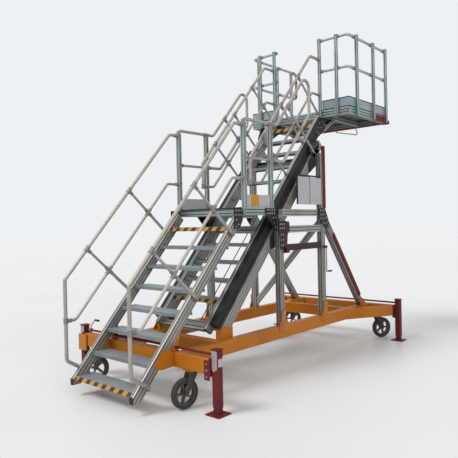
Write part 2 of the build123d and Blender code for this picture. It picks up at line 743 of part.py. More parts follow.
# Black side bands lie over the guides; their shoes slide on the guide's upper face and hook
# over its inner face.
band_x0 = up_clear + up_stringer_w
band_w = 78.0
shoe_t = 8.0
shoe_l = 160.0
lip_h = 40.0
lip_w = guide_inner - band_x0 - run_gap
guide_face_drop = guide_drop - guide_d / 2
band_low_drop = guide_face_drop - shoe_t
band_h = 100.0
shoe_steps = (up_foot_s + 330, up_foot_s + 1700)
with BuildPart() as side_bands:
    with BuildSketch(slope_plane(band_x0 + band_w / 2, up_at(up_foot_s + 80, band_low_drop - band_h / 2))):
        Rectangle(band_w, band_h)
    extrude(amount=up_head_s - 270 - up_foot_s)
    for s in shoe_steps:
        with BuildSketch(slope_plane(band_x0, up_at(s, guide_face_drop))):
            with BuildLine():
                Polyline((0, -shoe_t), (band_w, -shoe_t), (band_w, -run_gap), (lip_w, -run_gap),
                         (lip_w, lip_h), (0, lip_h), close=True)
            make_face()
        extrude(amount=shoe_l)
    mirror(about=Plane.YZ)
finish(side_bands.part, "side_bands")

up_depth = up_going + 5
with BuildPart() as upper_treads:
    for k in range(1, up_count + 1):
        with BuildSketch(Plane(origin=(-up_clear, deck_y - k * up_going, deck_z - k * up_rise),
                               x_dir=(0, 1, 0), z_dir=(1, 0, 0))):
            with BuildLine():
                Polyline((0, 0), (up_depth, 0), (up_depth, -tread_t), (up_depth - sheet_t, -tread_t),
                         (up_depth - sheet_t, -sheet_t), (sheet_t, -sheet_t), (sheet_t, -tread_t),
                         (0, -tread_t), close=True)
            make_face()
        extrude(amount=2 * up_clear)
finish(upper_treads.part, "upper_treads")

with BuildPart() as upper_noses:
    for k in (1, up_count):
        with Locations((0, deck_y - k * up_going - nose_t / 2, deck_z - k * up_rise - nose_h / 2)):
            Box(2 * up_clear, nose_t, nose_h)
finish(upper_noses.part, "upper_noses")

# Moving handrails: from a drop at the foot up to the platform's inner posts.
up_rail_x = up_clear + up_stringer_w - brace_r - 1
up_top_rise = 1026.0
up_knee_rise = 493.0
rail_foot_y = -430.0
rail_drop = 320.0
deck_post = 40.0
rail_head_y = deck_y - deck_post
brace_rows = (-184.0, 226.0, 636.0)
for name, side in (("upper_rail_left", -1), ("upper_rail_right", 1)):
    x = side * up_rail_x
    head_top = rail_head_y - 225
    head_knee = rail_head_y - 205
    with BuildPart() as rail:
        foot_z = up_line(rail_foot_y, up_top_rise)
        knee_z = up_line(rail_foot_y + 200, up_knee_rise)
        add_tube(((x, rail_foot_y, foot_z - rail_drop), (x, rail_foot_y, foot_z),
                  (x, head_top, up_line(head_top, up_top_rise)),
                  (x, rail_head_y, up_line(head_top, up_top_rise))), tube_r, 55)
        add_tube(((x, rail_foot_y, knee_z), (x, rail_foot_y + 200, knee_z),
                  (x, head_knee, up_line(head_knee, up_knee_rise)),
                  (x, rail_head_y, up_line(head_knee, up_knee_rise))), knee_r, 60)
        for y in brace_rows:
            z = up_line(y, up_top_rise)
            length = up_top_rise * run_y - nose_cover
            add_tube(((x, y, z), (x, y + length * run_z, z - length * run_y)), brace_r, 0)
    finish(rail.part, name)

# Platform: slotted edge frame with bearers under the deck.
edge_profile = slotted(frame_w, frame_h, 2)
bearer_h = frame_h - 30
with BuildPart() as platform_frame:
    with BuildSketch(Plane(origin=(-deck_half, deck_y + frame_w / 2, deck_z - frame_h / 2),
                           x_dir=(0, 1, 0), z_dir=(1, 0, 0))):
        add(edge_profile)
    extrude(amount=2 * deck_half)
    for side in (-1, 1):
        frame_end = (side * (deck_half - frame_w / 2), deck_y + frame_w, deck_z - frame_h / 2)
        with BuildSketch(Plane(origin=frame_end, x_dir=(1, 0, 0), z_dir=(0, 1, 0))):
            add(edge_profile)
        extrude(amount=deck_back - deck_y - frame_w)
    with Locations((0, deck_back - frame_w / 2, deck_z - 30 - bearer_h / 2)):
        Box(2 * (deck_half - frame_w), frame_w, bearer_h)
    for x in (-up_x, up_x):
        with Locations((x, (deck_y + deck_back) / 2, deck_z - 30 - bearer_h / 2)):
            Box(up_stringer_w, deck_back - deck_y - 2 * frame_w, bearer_h)
finish(platform_frame.part, "platform_frame")

with BuildPart() as platform_deck:
    with Locations((0, (deck_y + frame_w + deck_back) / 2, deck_z - 15)):
        Box(2 * (deck_half - frame_w), deck_back - deck_y - frame_w, 30)
finish(platform_deck.part, "platform_deck")

toe_h = 140.0
toe_t = 12.0
with BuildPart() as platform_toe_boards:
    with Locations(((up_rail_x + 25 + deck_half) / 2, deck_y + toe_t / 2, deck_z + toe_h / 2)):
        Box(deck_half - up_rail_x - 25, toe_t, toe_h)
    with Locations((deck_half - toe_t / 2, (deck_y + toe_t + deck_back) / 2, deck_z + toe_h / 2)):
        Box(toe_t, deck_back - deck_y - toe_t, toe_h)
    mirror(about=Plane.YZ)
finish(platform_toe_boards.part, "platform_toe_boards")

# Platform posts are bolted to the outside of the frame; the guard loops lie inside them.
deck_rail = 1010.0
deck_knee = 565.0
post_rise = deck_rail + tube_r
deck_posts = ((up_rail_x, deck_y - deck_post / 2), (680.0, deck_y - deck_post / 2),
              (deck_half + deck_post / 2, deck_y + 203), (deck_half + deck_post / 2, deck_y + 703),
              (deck_half + deck_post / 2, deck_back - 33))
with BuildPart() as platform_posts:
    with Locations(*[(x, y, deck_z + (post_rise - frame_h) / 2) for x, y in deck_posts]):
        Box(deck_post, deck_post, post_rise + frame_h)
    mirror(about=Plane.YZ)
finish(platform_posts.part, "platform_posts")

loop_y = deck_y + tube_r + seat_gap
loop_x = deck_half - tube_r - seat_gap
loop_back = deck_back + 67
for name, side in (("platform_rail_left", -1), ("platform_rail_right", 1)):
    start = side * (up_rail_x - deck_post / 2)
    x = side * loop_x
    with BuildPart() as rail:
        add_tube(((start, loop_y, deck_z + deck_rail), (x, loop_y, deck_z + deck_rail),
                  (x, loop_back, deck_z + deck_rail), (x, loop_back, deck_z + deck_knee),
                  (x, loop_y, deck_z + deck_knee), (start, loop_y, deck_z + deck_knee)), tube_r, 70)
    finish(rail.part, name)

with BuildPart() as rear_bumper:
    with Locations((0, deck_back + 15, deck_z - 35)):
        Box(2 * deck_half, 30, 60)
finish(rear_bumper.part, "rear_bumper")

# Black plates carry the platform frame on the heads of the stringers.
with BuildPart() as carriage_plates:
    with BuildSketch(side_plane(band_x0)):
        with BuildLine():
            Polyline((deck_y - 165, deck_z - 190), (deck_y - 90, deck_z - frame_h),
                     (deck_y + 330, deck_z - frame_h), (deck_y + 10, deck_z - 270), close=True)
        make_face()
    extrude(amount=12)
    mirror(about=Plane.YZ)
finish(carriage_plates.part, "carriage_plates")
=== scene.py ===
import math
import bmesh
import bpy
import numpy as np
from mathutils import Matrix, Vector


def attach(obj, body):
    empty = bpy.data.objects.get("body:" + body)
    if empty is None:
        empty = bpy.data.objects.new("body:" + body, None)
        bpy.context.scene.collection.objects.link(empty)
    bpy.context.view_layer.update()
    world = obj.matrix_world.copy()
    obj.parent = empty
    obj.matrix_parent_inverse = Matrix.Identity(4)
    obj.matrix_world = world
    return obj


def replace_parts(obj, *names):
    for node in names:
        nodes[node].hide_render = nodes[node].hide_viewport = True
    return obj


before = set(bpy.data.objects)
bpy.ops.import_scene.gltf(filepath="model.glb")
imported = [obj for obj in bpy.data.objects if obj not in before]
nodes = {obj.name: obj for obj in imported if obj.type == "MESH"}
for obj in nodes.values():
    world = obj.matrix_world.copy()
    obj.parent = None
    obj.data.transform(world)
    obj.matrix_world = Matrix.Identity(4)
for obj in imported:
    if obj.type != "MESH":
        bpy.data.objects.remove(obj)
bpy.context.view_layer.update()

# The eye stands to the right of the stair's foot at head height and looks along the climb.
# The lens and the small roll are those of the photograph.
eye_place = (4.5484, -5.5015, 1.7985)
heading, tilt, roll = math.radians(41.6769), math.radians(-0.5517), math.radians(-1.2346)
focal_pixels, frame_pixels, sensor_width = 535.4554, 458, 36
ahead = Vector((-math.sin(heading) * math.cos(tilt), math.cos(heading) * math.cos(tilt), math.sin(tilt)))
level = Vector((math.cos(heading), math.sin(heading), 0))
upward = level.cross(ahead)
camera = bpy.data.objects.new("eye", bpy.data.cameras.new("eye"))
camera.data.lens = focal_pixels / frame_pixels * sensor_width
camera.data.sensor_width = sensor_width
camera.data.clip_end = 200
camera.matrix_world = Matrix.Translation(eye_place) @ Matrix((
    level * math.cos(roll) + upward * math.sin(roll),
    upward * math.cos(roll) - level * math.sin(roll),
    -ahead,
)).transposed().to_4x4()
bpy.context.scene.collection.objects.link(camera)
bpy.context.scene.camera = camera
bpy.context.scene.view_settings.view_transform = "Standard"


# The floor is a broad pale sheet of smooth concrete, faintly clouded.
# It runs far behind the stand and meets a plain bright surround.
class Finish:
    """A material in the making. A node's settings and inputs are given by keyword, an input also by an
    underscore and its number, and a value that is another node's output is joined to it."""

    def __init__(self, name):
        self.material = bpy.data.materials.new(name)
        self.material.use_nodes = True
        self.tree = self.material.node_tree
        self.place = self.node("TexCoord", "Object")

    def feed(self, node, **values):
        """Sets a node's inputs, or joins them to the outputs given."""
        for key, value in values.items():
            socket = node.inputs[int(key[1:]) if key[1:].isdigit() else key.replace("_", " ")]
            if isinstance(value, bpy.types.NodeSocket):
                self.tree.links.new(value, socket)
            else:
                socket.default_value = (*value, 1) if socket.type == "RGBA" else value

    def node(self, kind, out=0, **values):
        """Adds a node, sets its own properties, feeds its inputs and gives back one output."""
        node = self.tree.nodes.new("ShaderNode" + kind)
        for key in [key for key in values if hasattr(node, key)]:
            setattr(node, key, values.pop(key))
        self.feed(node, **values)
        return node.outputs[out]

    def noise(self, scale, detail, rough=0.5, place=None):
        """Soft noise over the piece, or over the place given."""
        return self.node("TexNoise", "Fac", Vector=place or self.place, Scale=scale, Detail=detail, Roughness=rough)

    def reckon(self, operation, first, second=0.0):
        """One operation on two numbers."""
        return self.node("Math", operation=operation, _0=first, _1=second)

    def span(self, value, low, high, to_low=0.0, to_high=1.0):
        """A value brought from one range to another and held within it."""
        return self.node("MapRange", Value=value, From_Min=low, From_Max=high, To_Min=to_low, To_Max=to_high)

    def mixed(self, factor, first, second):
        """The first colour going over to the second as the factor rises."""
        return self.node("Mix", 2, data_type="RGBA", Factor=factor, _6=first, _7=second)

    def toned(self, value, low, dark, high, light):
        """A dark colour up to one value, a light one from another, and a ramp between them."""
        ramp = self.tree.nodes.new("ShaderNodeValToRGB")
        self.tree.links.new(value, ramp.inputs["Fac"])
        for stop, position, colour in zip(ramp.color_ramp.elements, (low, high), (dark, light)):
            stop.position, stop.color = position, (*colour, 1)
        return ramp.outputs["Color"]

    def bump(self, height, strength, distance):
        """A normal that follows a height."""
        return self.node("Bump", Height=height, Strength=strength, Distance=distance)

    def shade(self, **values):
        """Feeds the shader itself, and gives back the finished material."""
        self.feed(self.tree.nodes["Principled BSDF"], **values)
        return self.material


floor_reach = 60
floor_mesh = bpy.data.meshes.new("floor")
floor_mesh.from_pydata([(x * floor_reach, y * floor_reach, 0) for x, y in ((-1, -1), (1, -1), (1, 1), (-1, 1))],
                       [], [(0, 1, 2, 3)])
floor = bpy.data.objects.new("floor", floor_mesh)
bpy.context.scene.collection.objects.link(floor)
concrete = Finish("pale_concrete")
floor_mesh.materials.append(concrete.shade(
    Base_Color=concrete.toned(concrete.noise(0.35, 5.0), 0, (0.74, 0.74, 0.73), 1, (0.83, 0.83, 0.82)), Roughness=0.45))

# Two broad soft lamps and a bright surround give plain studio light.
# The surround is dimmer for diffuse light, so that the lamps still model the profiles.
for name, power, spread, direction in (
    ("key_lamp", 1.9, 22, (0.35, 0.75, -1.0)),
    ("fill_lamp", 0.8, 40, (-0.9, 0.25, -0.55)),
):
    lamp = bpy.data.objects.new(name, bpy.data.lights.new(name, "SUN"))
    lamp.data.energy = power
    lamp.data.angle = math.radians(spread)
    lamp.rotation_mode = "QUATERNION"
    lamp.rotation_quaternion = Vector(direction).to_track_quat("-Z", "Y")
    bpy.context.scene.collection.objects.link(lamp)
surround = bpy.data.worlds.new("surround")
bpy.context.scene.world = surround
surround.use_nodes = True
tree = surround.node_tree
background = tree.nodes["Background"]
background.inputs["Color"].default_value = (0.95, 0.97, 1.0, 1)
path = tree.nodes.new("ShaderNodeLightPath")
seen = tree.nodes.new("ShaderNodeMath")
seen.operation = "MAXIMUM"
tree.links.new(path.outputs["Is Camera Ray"], seen.inputs[0])
tree.links.new(path.outputs["Is Glossy Ray"], seen.inputs[1])
glow = tree.nodes.new("ShaderNodeMapRange")
glow.inputs["To Min"].default_value = 0.5
glow.inputs["To Max"].default_value = 0.9
tree.links.new(seen.outputs[0], glow.inputs["Value"])
tree.links.new(glow.outputs["Result"], background.inputs["Strength"])


# The chassis is welded from rectangular steel tube, powder coated in amber orange.
# The coat has a slight orange-peel surface, dulls where feet and grease have marked it,
# and is worn thin along its edges.
def coat(name, colour, dirt, rough=0.42, peel=0.04, wear=0.5, bare=(0.30, 0.27, 0.25)):
    """Sprayed paint: the colour clouded towards dirt by soft noise, thin dark streaks that run down,
    chips along sharp edges where a rounded normal differs from the true one, and a fine peel bump."""
    paint = Finish(name)
    cloud = paint.noise(2.3, 6.0, 0.6)
    streak = paint.noise(1.0, 4.0, place=paint.node("Mapping", Vector=paint.place, Scale=(7, 7, 1.2)))
    soil = paint.reckon("MAXIMUM", paint.span(cloud, 0.42, 0.75, 0, 0.55), paint.span(streak, 0.55, 0.85, 0, 0.35))
    rounded = paint.node("Bevel", samples=4, Radius=0.006)
    bend = paint.node("VectorMath", "Value", operation="DOT_PRODUCT", _0=rounded,
                      _1=paint.node("NewGeometry", "Normal"))
    speck = paint.noise(38.0, 5.0, 0.7)
    chip = paint.reckon("MULTIPLY", paint.span(bend, 0.97, 0.80), paint.span(speck, 0.52, 0.6, 0, wear))
    return paint.shade(Base_Color=paint.mixed(chip, paint.mixed(soil, colour, dirt), bare),
                       Roughness=paint.span(cloud, 0.3, 0.8, rough - 0.08, rough + 0.2),
                       Normal=paint.bump(paint.noise(320.0, 2.0), peel, 0.002), Specular_IOR_Level=0.22)


def dress(material, *names):
    """Gives CAD nodes, each named in full, this material in their only slot."""
    for name in names:
        mesh = nodes[name].data
        mesh.materials.clear()
        mesh.materials.append(material)


amber = coat("amber_paint", (0.47, 0.155, 0.007), (0.26, 0.09, 0.018))
dress(amber, "side_beams", "cross_beams", "outriggers", "foot_brackets", "castor_plates")


# Zinc-plated hexagon bolts with washers hold the plates, flanges and brackets.
# Each is one six-sided head on a flat round washer, standing on its plate.
def plated(name, colour, rough=0.35, metallic=0.9):
    """Plated or bare metal: the colour is clouded a little by noise, and its roughness with it."""
    metal = Finish(name)
    cloud = metal.noise(25.0, 4.0)
    return metal.shade(Base_Color=metal.toned(cloud, 0.3, [c * 0.72 for c in colour], 0.7, colour),
                       Roughness=metal.span(cloud, 0, 1, rough - 0.1, rough + 0.2), Metallic=metallic)


def piece(name, parts, material, body, sharp=35, bevel=0.0, fill=False):
    """One mesh of all the given parts, its doubles merged and its faces smooth up to the sharp angle,
    riding on a body. A part is its points, its quads and, where it has slots, how deep in a slot each
    point lies. Fill closes open ends, and a bevel rounds hard edges."""
    starts = np.cumsum([0] + [len(part[0]) for part in parts])
    points = np.concatenate([part[0] for part in parts])
    faces = np.concatenate([part[1] + start for part, start in zip(parts, starts)])
    inside = np.concatenate([part[2] if len(part) > 2 else np.zeros(len(part[0])) for part in parts])
    mesh = bpy.data.meshes.new(name)
    mesh.vertices.add(len(points))
    mesh.vertices.foreach_set("co", points.astype(np.float32).ravel())
    mesh.loops.add(faces.size)
    mesh.loops.foreach_set("vertex_index", faces.astype(np.int32).ravel())
    mesh.polygons.add(len(faces))
    mesh.polygons.foreach_set("loop_start", np.arange(len(faces), dtype=np.int32) * 4)
    mesh.update(calc_edges=True)
    # The attribute inside holds how deep each point lies in a slot; the anodised finishes paint shade into the slots
    # from it.
    mesh.attributes.new("inside", "FLOAT", "POINT").data.foreach_set("value", inside.astype(np.float32))
    work = bmesh.new()
    work.from_mesh(mesh)
    bmesh.ops.remove_doubles(work, verts=work.verts, dist=1e-5)
    bmesh.ops.dissolve_degenerate(work, edges=work.edges, dist=1e-5)
    if fill:
        bmesh.ops.holes_fill(work, edges=[edge for edge in work.edges if edge.is_boundary], sides=0)
        bmesh.ops.recalc_face_normals(work, faces=work.faces)
    work.to_mesh(mesh)
    work.free()
    mesh.shade_smooth()
    mesh.set_sharp_from_angle(angle=math.radians(sharp))
    mesh.materials.append(material)
    made = bpy.data.objects.new(name, mesh)
    bpy.context.scene.collection.objects.link(made)
    if bevel:
        rounding = made.modifiers.new("rounding", "BEVEL")
        rounding.width = bevel
        rounding.segments = 2
        rounding.limit_method = "ANGLE"
    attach(made, body)
    return made


def spun(outline, sides):
    """An outline of (radius, height) pairs turned about Z: each ring repeats the outline at an equal
    step of angle, and neighbouring rings are joined by quads."""
    outline = np.asarray(outline, float)
    count = len(outline)
    turn = np.arange(sides) * 2 * np.pi / sides
    points = np.stack([outline[None, :, 0] * np.cos(turn)[:, None], outline[None, :, 0] * np.sin(turn)[:, None],
                       np.broadcast_to(outline[None, :, 1], (sides, count))], axis=-1).reshape(-1, 3)
    ring, step = np.meshgrid(np.arange(sides), np.arange(count - 1), indexing="ij")
    beside = (ring + 1) % sides
    faces = np.stack([ring * count + step, beside * count + step, beside * count + step + 1,
                      ring * count + step + 1], axis=-1).reshape(-1, 4)
    return points, faces


def stood(places, direction):
    """For each place, a frame whose Z runs along the direction: X and Y are any two square to it."""
    places = np.atleast_2d(np.asarray(places, float))
    z = np.broadcast_to(np.asarray(direction, float), places.shape)
    z = z / np.linalg.norm(z, axis=1, keepdims=True)
    helper = np.where(np.abs(z[:, 2:3]) > 0.9, [[1.0, 0, 0]], [[0, 0, 1.0]])
    x = np.cross(helper, z)
    x /= np.linalg.norm(x, axis=1, keepdims=True)
    frames = np.zeros((len(places), 4, 4))
    frames[:, :3, 0], frames[:, :3, 1], frames[:, :3, 2], frames[:, :3, 3] = x, np.cross(z, x), z, places
    frames[:, 3, 3] = 1
    return frames


def copies(shape, frames):
    """The same shape set in each frame: every point is turned and moved by every 4 by 4 matrix."""
    points, faces = shape
    moved = np.einsum("kij,nj->kni", frames[:, :3, :3], points) + frames[:, None, :3, 3]
    starts = np.arange(len(frames))[:, None, None] * len(points)
    return moved.reshape(-1, 3), (faces[None] + starts).reshape(-1, 4)


X, Y, Z = np.eye(3)
zinc = plated("zinc_plate", (0.46, 0.46, 0.43))
washer = spun([(0, 0), (0.0105, 0), (0.0105, 0.0018), (0, 0.0018)], 12)
hexagon = spun([(0, 0.0018), (0.0072, 0.0018), (0.0072, 0.0058), (0.0060, 0.0066), (0, 0.0066)], 6)
bolt = (np.concatenate([washer[0], hexagon[0]]), np.concatenate([washer[1], hexagon[1] + len(washer[0])]))


def side_bolts(name, places, body):
    """Bolts at the given places on the right and at their mirror images on the left, heads outwards."""
    places = np.array(places) * [[[1, 1, 1]], [[-1, 1, 1]]]
    piece(name, [copies(bolt, stood(row, np.sign(row[0, 0]) * X)) for row in places], zinc, body)


side_bolts("chassis_bolts", [(0.640, y + dy, z) for y in (-0.127, 0.843, 1.930) for dy in (-0.06, 0.06)
                             for z in (0.475, 0.512)], "base")

# The screw jacks are square tubes in dark red paint, with a capped head, a bolted flange
# and a square leg on a foot plate. The shafts that link them are painted with them.
dark_red = coat("dark_red_paint", (0.135, 0.012, 0.015), (0.05, 0.012, 0.014), rough=0.5)
dress(dark_red, "jack_sleeves", "link_shafts", "jack_leg_front_left", "jack_leg_front_right",
      "jack_leg_rear_left", "jack_leg_rear_right")

# The castors have pressed steel forks and cast hubs with five spokes.
# The forks are black-brown paint, scuffed, and the hubs are bare and dark.
dark_steel = coat("dark_fork_paint", (0.055, 0.05, 0.045), (0.16, 0.12, 0.09), rough=0.5, wear=0.7,
                  bare=(0.35, 0.33, 0.3))
cast = plated("cast_hub", (0.10, 0.095, 0.085), rough=0.55, metallic=0.4)
for corner in ("front_left", "front_right", "rear_left", "rear_right"):
    dress(dark_steel, "castor_fork_" + corner)
    dress(cast, "wheel_hub_" + corner)

# Each tyre is one solid ring of warm near-black rubber, with rounded shoulders and a shallow groove
# round its tread. It is pressed on its hub and turns with it.
rubber = coat("tyre_rubber", (0.045, 0.035, 0.032), (0.14, 0.10, 0.08), rough=0.75, peel=0.25, wear=0.0)
wheel_radius, castor_trail = 0.152, 0.085
half_tread = [(0.114, 0.026), (0.117, 0.030), (0.136, 0.030), (0.145, 0.0265), (0.1505, 0.018), (0.152, 0.007),
              (0.1495, 0.0045)]
tread_line = [(r, -w) for r, w in half_tread] + half_tread[::-1] + [(0.114, -0.026)]
for corner, x, y, heading in (("front_left", -0.740, -1.830, 222), ("front_right", 0.740, -1.830, 262),
                              ("rear_left", -0.740, 2.155, 235), ("rear_right", 0.740, 2.155, 60)):
    turn = math.radians(heading)
    centre = (x + castor_trail * math.cos(turn), y + castor_trail * math.sin(turn), wheel_radius)
    ring = copies(spun(tread_line, 72), stood([centre], (-math.sin(turn), math.cos(turn), 0)))
    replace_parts(piece("tyre_ring_" + corner, [ring], rubber, "wheel_" + corner), "tyre_" + corner)


# The stringers of both flights and the guides between them are slotted aluminium profile.
# It is extruded and natural anodised, with fine lines along its length and some dull patches. The
# lower stringers are cut upright at the toe and level near the floor.
def anodised(name, colour, lean=0.0, along="Z", rough=0.4, metallic=0.5, shade_below=0.0):
    """Extruded aluminium: object coordinates turned back by the member's lean are stretched along its
    length, so that noise makes fine lines there; broad noise dulls patches of it, and painted shade fills the
    slots, where the attribute inside is one, and darkens the faces that look down as far as shade_below says."""
    metal = Finish(name)
    turned = metal.node("Mapping", Vector=metal.place, Rotation=(math.radians(lean), 0, 0))
    stretch = {"Y": (130, 1.5, 130), "Z": (130, 130, 1.5)}[along]
    lines = metal.noise(1.0, 5.0, 0.65, metal.node("Mapping", Vector=turned, Scale=stretch))
    cloud = metal.noise(3.1, 6.0, 0.62)
    tone = metal.toned(metal.reckon("MULTIPLY", metal.reckon("ADD", lines, cloud), 0.5),
                       0.36, [c * 0.66 for c in colour], 0.62, colour)
    facing = metal.node("SeparateXYZ", "Z", _0=metal.node("NewGeometry", "True Normal"))
    # Painted shade: the slots and the faces that look down are mixed towards near black.
    dark = metal.reckon("MAXIMUM", metal.node("Attribute", "Fac", attribute_name="inside"),
                        metal.span(facing, -0.5, -0.8, 0, shade_below))
    return metal.shade(Base_Color=metal.mixed(dark, tone, (0.030, 0.028, 0.025)),
                       Roughness=metal.span(cloud, 0.3, 0.7, rough - 0.08, rough + 0.16),
                       Normal=metal.bump(lines, 0.12, 0.001), Metallic=metallic)


leaning_profile = anodised("leaning_profile", (0.43, 0.415, 0.38), lean=-42, metallic=0.55)
stair_angle = math.radians(48)
climb = np.array([0, math.cos(stair_angle), math.sin(stair_angle)])
square = np.array([0, climb[2], -climb[1]])


def slotted(width, depth, side_slots=1, end_slots=1):
    """A profile's section, anticlockwise, and how deep each point lies in a slot. Every face runs from
    corner to corner; at a slot it steps in over a lip, widens under it and narrows to the floor, and
    between two slots it dips into a small groove."""
    pitch, corner, lip = 0.040, 0.0022, 0.0022
    slot = [(-0.005, 0), (-0.005, lip), (-0.0085, lip), (-0.0085, 0.0055), (-0.004, 0.010), (0.004, 0.010),
            (0.0085, 0.0055), (0.0085, lip), (0.005, lip), (0.005, 0)]
    groove = [(-0.0018, 0), (-0.0010, 0.0016), (0.0010, 0.0016), (0.0018, 0)]

    def face(length, slots):
        spots = (np.arange(slots) - (slots - 1) / 2) * pitch
        dips = sorted([(spot, slot) for spot in spots] + [(spot + pitch / 2, groove) for spot in spots[:-1]],
                      key=lambda dip: dip[0])
        run = [(corner - length / 2, 0)] + [(spot + u, v) for spot, shape in dips for u, v in shape]
        return np.array(run + [(length / 2 - corner, 0), (length / 2 - 0.0006, 0.0006)])

    low, side = face(width, end_slots), face(depth, side_slots)
    outline = np.concatenate([low * (1, 1) - (0, depth / 2), side[:, ::-1] * (-1, 1) + (width / 2, 0),
                              low * (-1, -1) + (0, depth / 2), side[:, ::-1] * (1, -1) - (width / 2, 0)])
    inside = np.concatenate([low[:, 1], side[:, 1], low[:, 1], side[:, 1]]) / lip
    return outline, np.where(inside > 0.4, np.clip(inside, 0, 1), 0)


def carried(section, place, across, down, starts, ends):
    """A section carried square to itself: each point of the outline, set at the place along the two
    given directions, runs from the last of the start planes to the first of the end planes, each plane
    being a point and a normal."""
    outline, inside = section
    onward = np.cross(across, down)
    base = np.asarray(place) + outline[:, :1] * across + outline[:, 1:] * down
    low = np.max([(np.asarray(point) - base) @ normal / (onward @ normal) for point, normal in starts], axis=0)
    high = np.min([(np.asarray(point) - base) @ normal / (onward @ normal) for point, normal in ends], axis=0)
    edge = np.arange(len(base))
    after = (edge + 1) % len(base)
    return (np.concatenate([base + low[:, None] * onward, base + high[:, None] * onward]),
            np.stack([edge, after, after + len(base), edge + len(base)], axis=1), np.tile(inside, 2))


def flight(width, depth, side_slots, x, nose, drop, ends, cuts=()):
    """A member that runs with a flight: its centre lies drop below the flight's noses, and it is cut
    square at two distances from a nose, and at further planes."""
    place = np.array([x, *nose]) + drop * square
    return carried(slotted(width, depth, side_slots), place, X, square,
                   [(place + ends[0] * climb, climb), *cuts], [(place + ends[1] * climb, climb)])


low_nose, up_nose = (-2.348, 0.212), (1.2095, 3.405)
toe_cuts = [((0, -2.387, 0), Y), ((0, 0, 0.120), Z)]
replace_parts(piece("lower_stringer_profiles", [
    flight(0.046, 0.115, 3, x, low_nose, 0.0455, (-0.110, 2.30911), toe_cuts) for x in (-0.503, 0.503)],
    leaning_profile, "base", fill=True), "lower_stringers")
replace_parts(piece("guide_profiles", [
    flight(0.060, 0.120, 3, x, up_nose, 0.1685, (-3.63624, -0.52783)) for x in (-0.501, 0.501)],
    leaning_profile, "base", fill=True), "guides")
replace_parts(piece("upper_stringer_profiles", [
    flight(0.045, 0.120, 3, x, up_nose, 0.048, (-3.72067, -0.130)) for x in (-0.3975, 0.3975)] + [
    carried(slotted(0.056, 0.060), np.array([0, *up_nose]) - 3.67567 * climb + 0.074 * square, square, climb,
            [((-0.375, 0, 0), X)], [((0.375, 0, 0), X)])],
    leaning_profile, "lift", fill=True), "upper_stringers")

# Three ties of slotted profile join the guides from below, set square to the climb.
# They are a cooler grey than the guides.
level_profile = anodised("level_profile", (0.36, 0.43, 0.43), along="Y", metallic=0.55)
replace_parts(piece("guide_tie_profiles", [
    carried(slotted(0.056, 0.080, 2), np.array([0, *up_nose]) + along * climb + 0.2005 * square, square, climb,
            [((-0.471, 0, 0), X)], [((0.471, 0, 0), X)]) for along in (-3.56624, -2.09624, -0.82783)],
    level_profile, "base", fill=True), "guide_ties")


# Four upright posts of square profile and two raking legs carry the guides on the chassis.
# The legs are mitred level at the beam and upright where they meet the rear posts.
def upright(size, slots, x, y, low, high):
    """A square post between two heights."""
    return carried(slotted(size, size, slots, slots), (x, y, 0), X, Y, [((0, 0, low), Z)], [((0, 0, high), Z)])


upright_profile = anodised("upright_profile", (0.38, 0.365, 0.335), metallic=0.55)
post_x, front_post_y, rear_post_y, beam_top = 0.592, -0.127, 0.843, 0.523
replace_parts(piece("support_post_profiles", [
    upright(0.080, 2, x, y, beam_top, top) for x in (-post_x, post_x)
    for y, top in ((front_post_y, 1.900), (rear_post_y, 2.740))],
    upright_profile, "base", fill=True), "support_posts")
leg_foot_y, leg_head_y = 1.930, 0.883
leg_way = np.array([0, leg_head_y - leg_foot_y, 1.858 - beam_top])
leg_way /= np.linalg.norm(leg_way)
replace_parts(piece("rear_leg_profiles", [
    carried(slotted(0.080, 0.080, 2, 2), (x, leg_foot_y, beam_top), X, np.cross(leg_way, X), [((0, 0, beam_top), Z)],
            [((0, leg_head_y, 0), Y)]) for x in (-post_x, post_x)],
    upright_profile, "base", fill=True), "rear_legs")


# Two level rails a side tie the posts together, and one brace crosses between the rear posts.
# They are slotted profile like the guides, with the rails sawn square and the brace cut upright.
def level_bar(width, height, slots, x, z, y0, y1):
    """A bar along Y, its height up and its width across."""
    return carried(slotted(width, height, slots), (x, 0, z), X, -Z, [((0, y0, 0), Y)], [((0, y1, 0), Y)])


slant = np.array([1.104, 0, 1.157])
slant /= np.linalg.norm(slant)
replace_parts(piece("side_rail_profiles", [
    level_bar(0.060, 0.090, 2, x, z, -0.087, 0.803) for x in (-post_x, post_x) for z in (1.924, 1.715)] + [
    carried(slotted(0.050, 0.0759), (0, rear_post_y, 1.1965), Y, np.cross(slant, Y), [((-0.552, 0, 0), X)],
            [((0.552, 0, 0), X)])],
    leaning_profile, "base", fill=True), "side_rails")


# The landing is a frame of deep slotted profile, in the cooler grey of the ties.
# Four slim guard posts of a greener grey stand on it.
def cross_bar(width, height, slots, y, z, half):
    """A bar along X, its height up and its width along Y."""
    return carried(slotted(width, height, slots), (0, y, z), Y, Z, [((-half, 0, 0), X)], [((half, 0, 0), X)])


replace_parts(piece("landing_frame_profiles", [
    level_bar(0.060, 0.090, 2, x, 1.943, -0.74888, -0.190) for x in (-0.550, 0.550)] + [
    cross_bar(0.040, 0.090, 2, y, 1.943, 0.520) for y in (-0.72888, -0.210)],
    level_profile, "base", fill=True), "landing_frame")
landing_profile = anodised("landing_profile", (0.38, 0.44, 0.42))
rail_x, landing_front, landing_rear = 0.5463, -0.72388, -0.215
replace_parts(piece("landing_post_profiles", [
    upright(0.050, 1, x, y, 1.988, top) for x in (-rail_x, rail_x)
    for y, top in ((landing_front, 2.976), (landing_rear, 3.000))],
    landing_profile, "base", fill=True), "landing_posts")
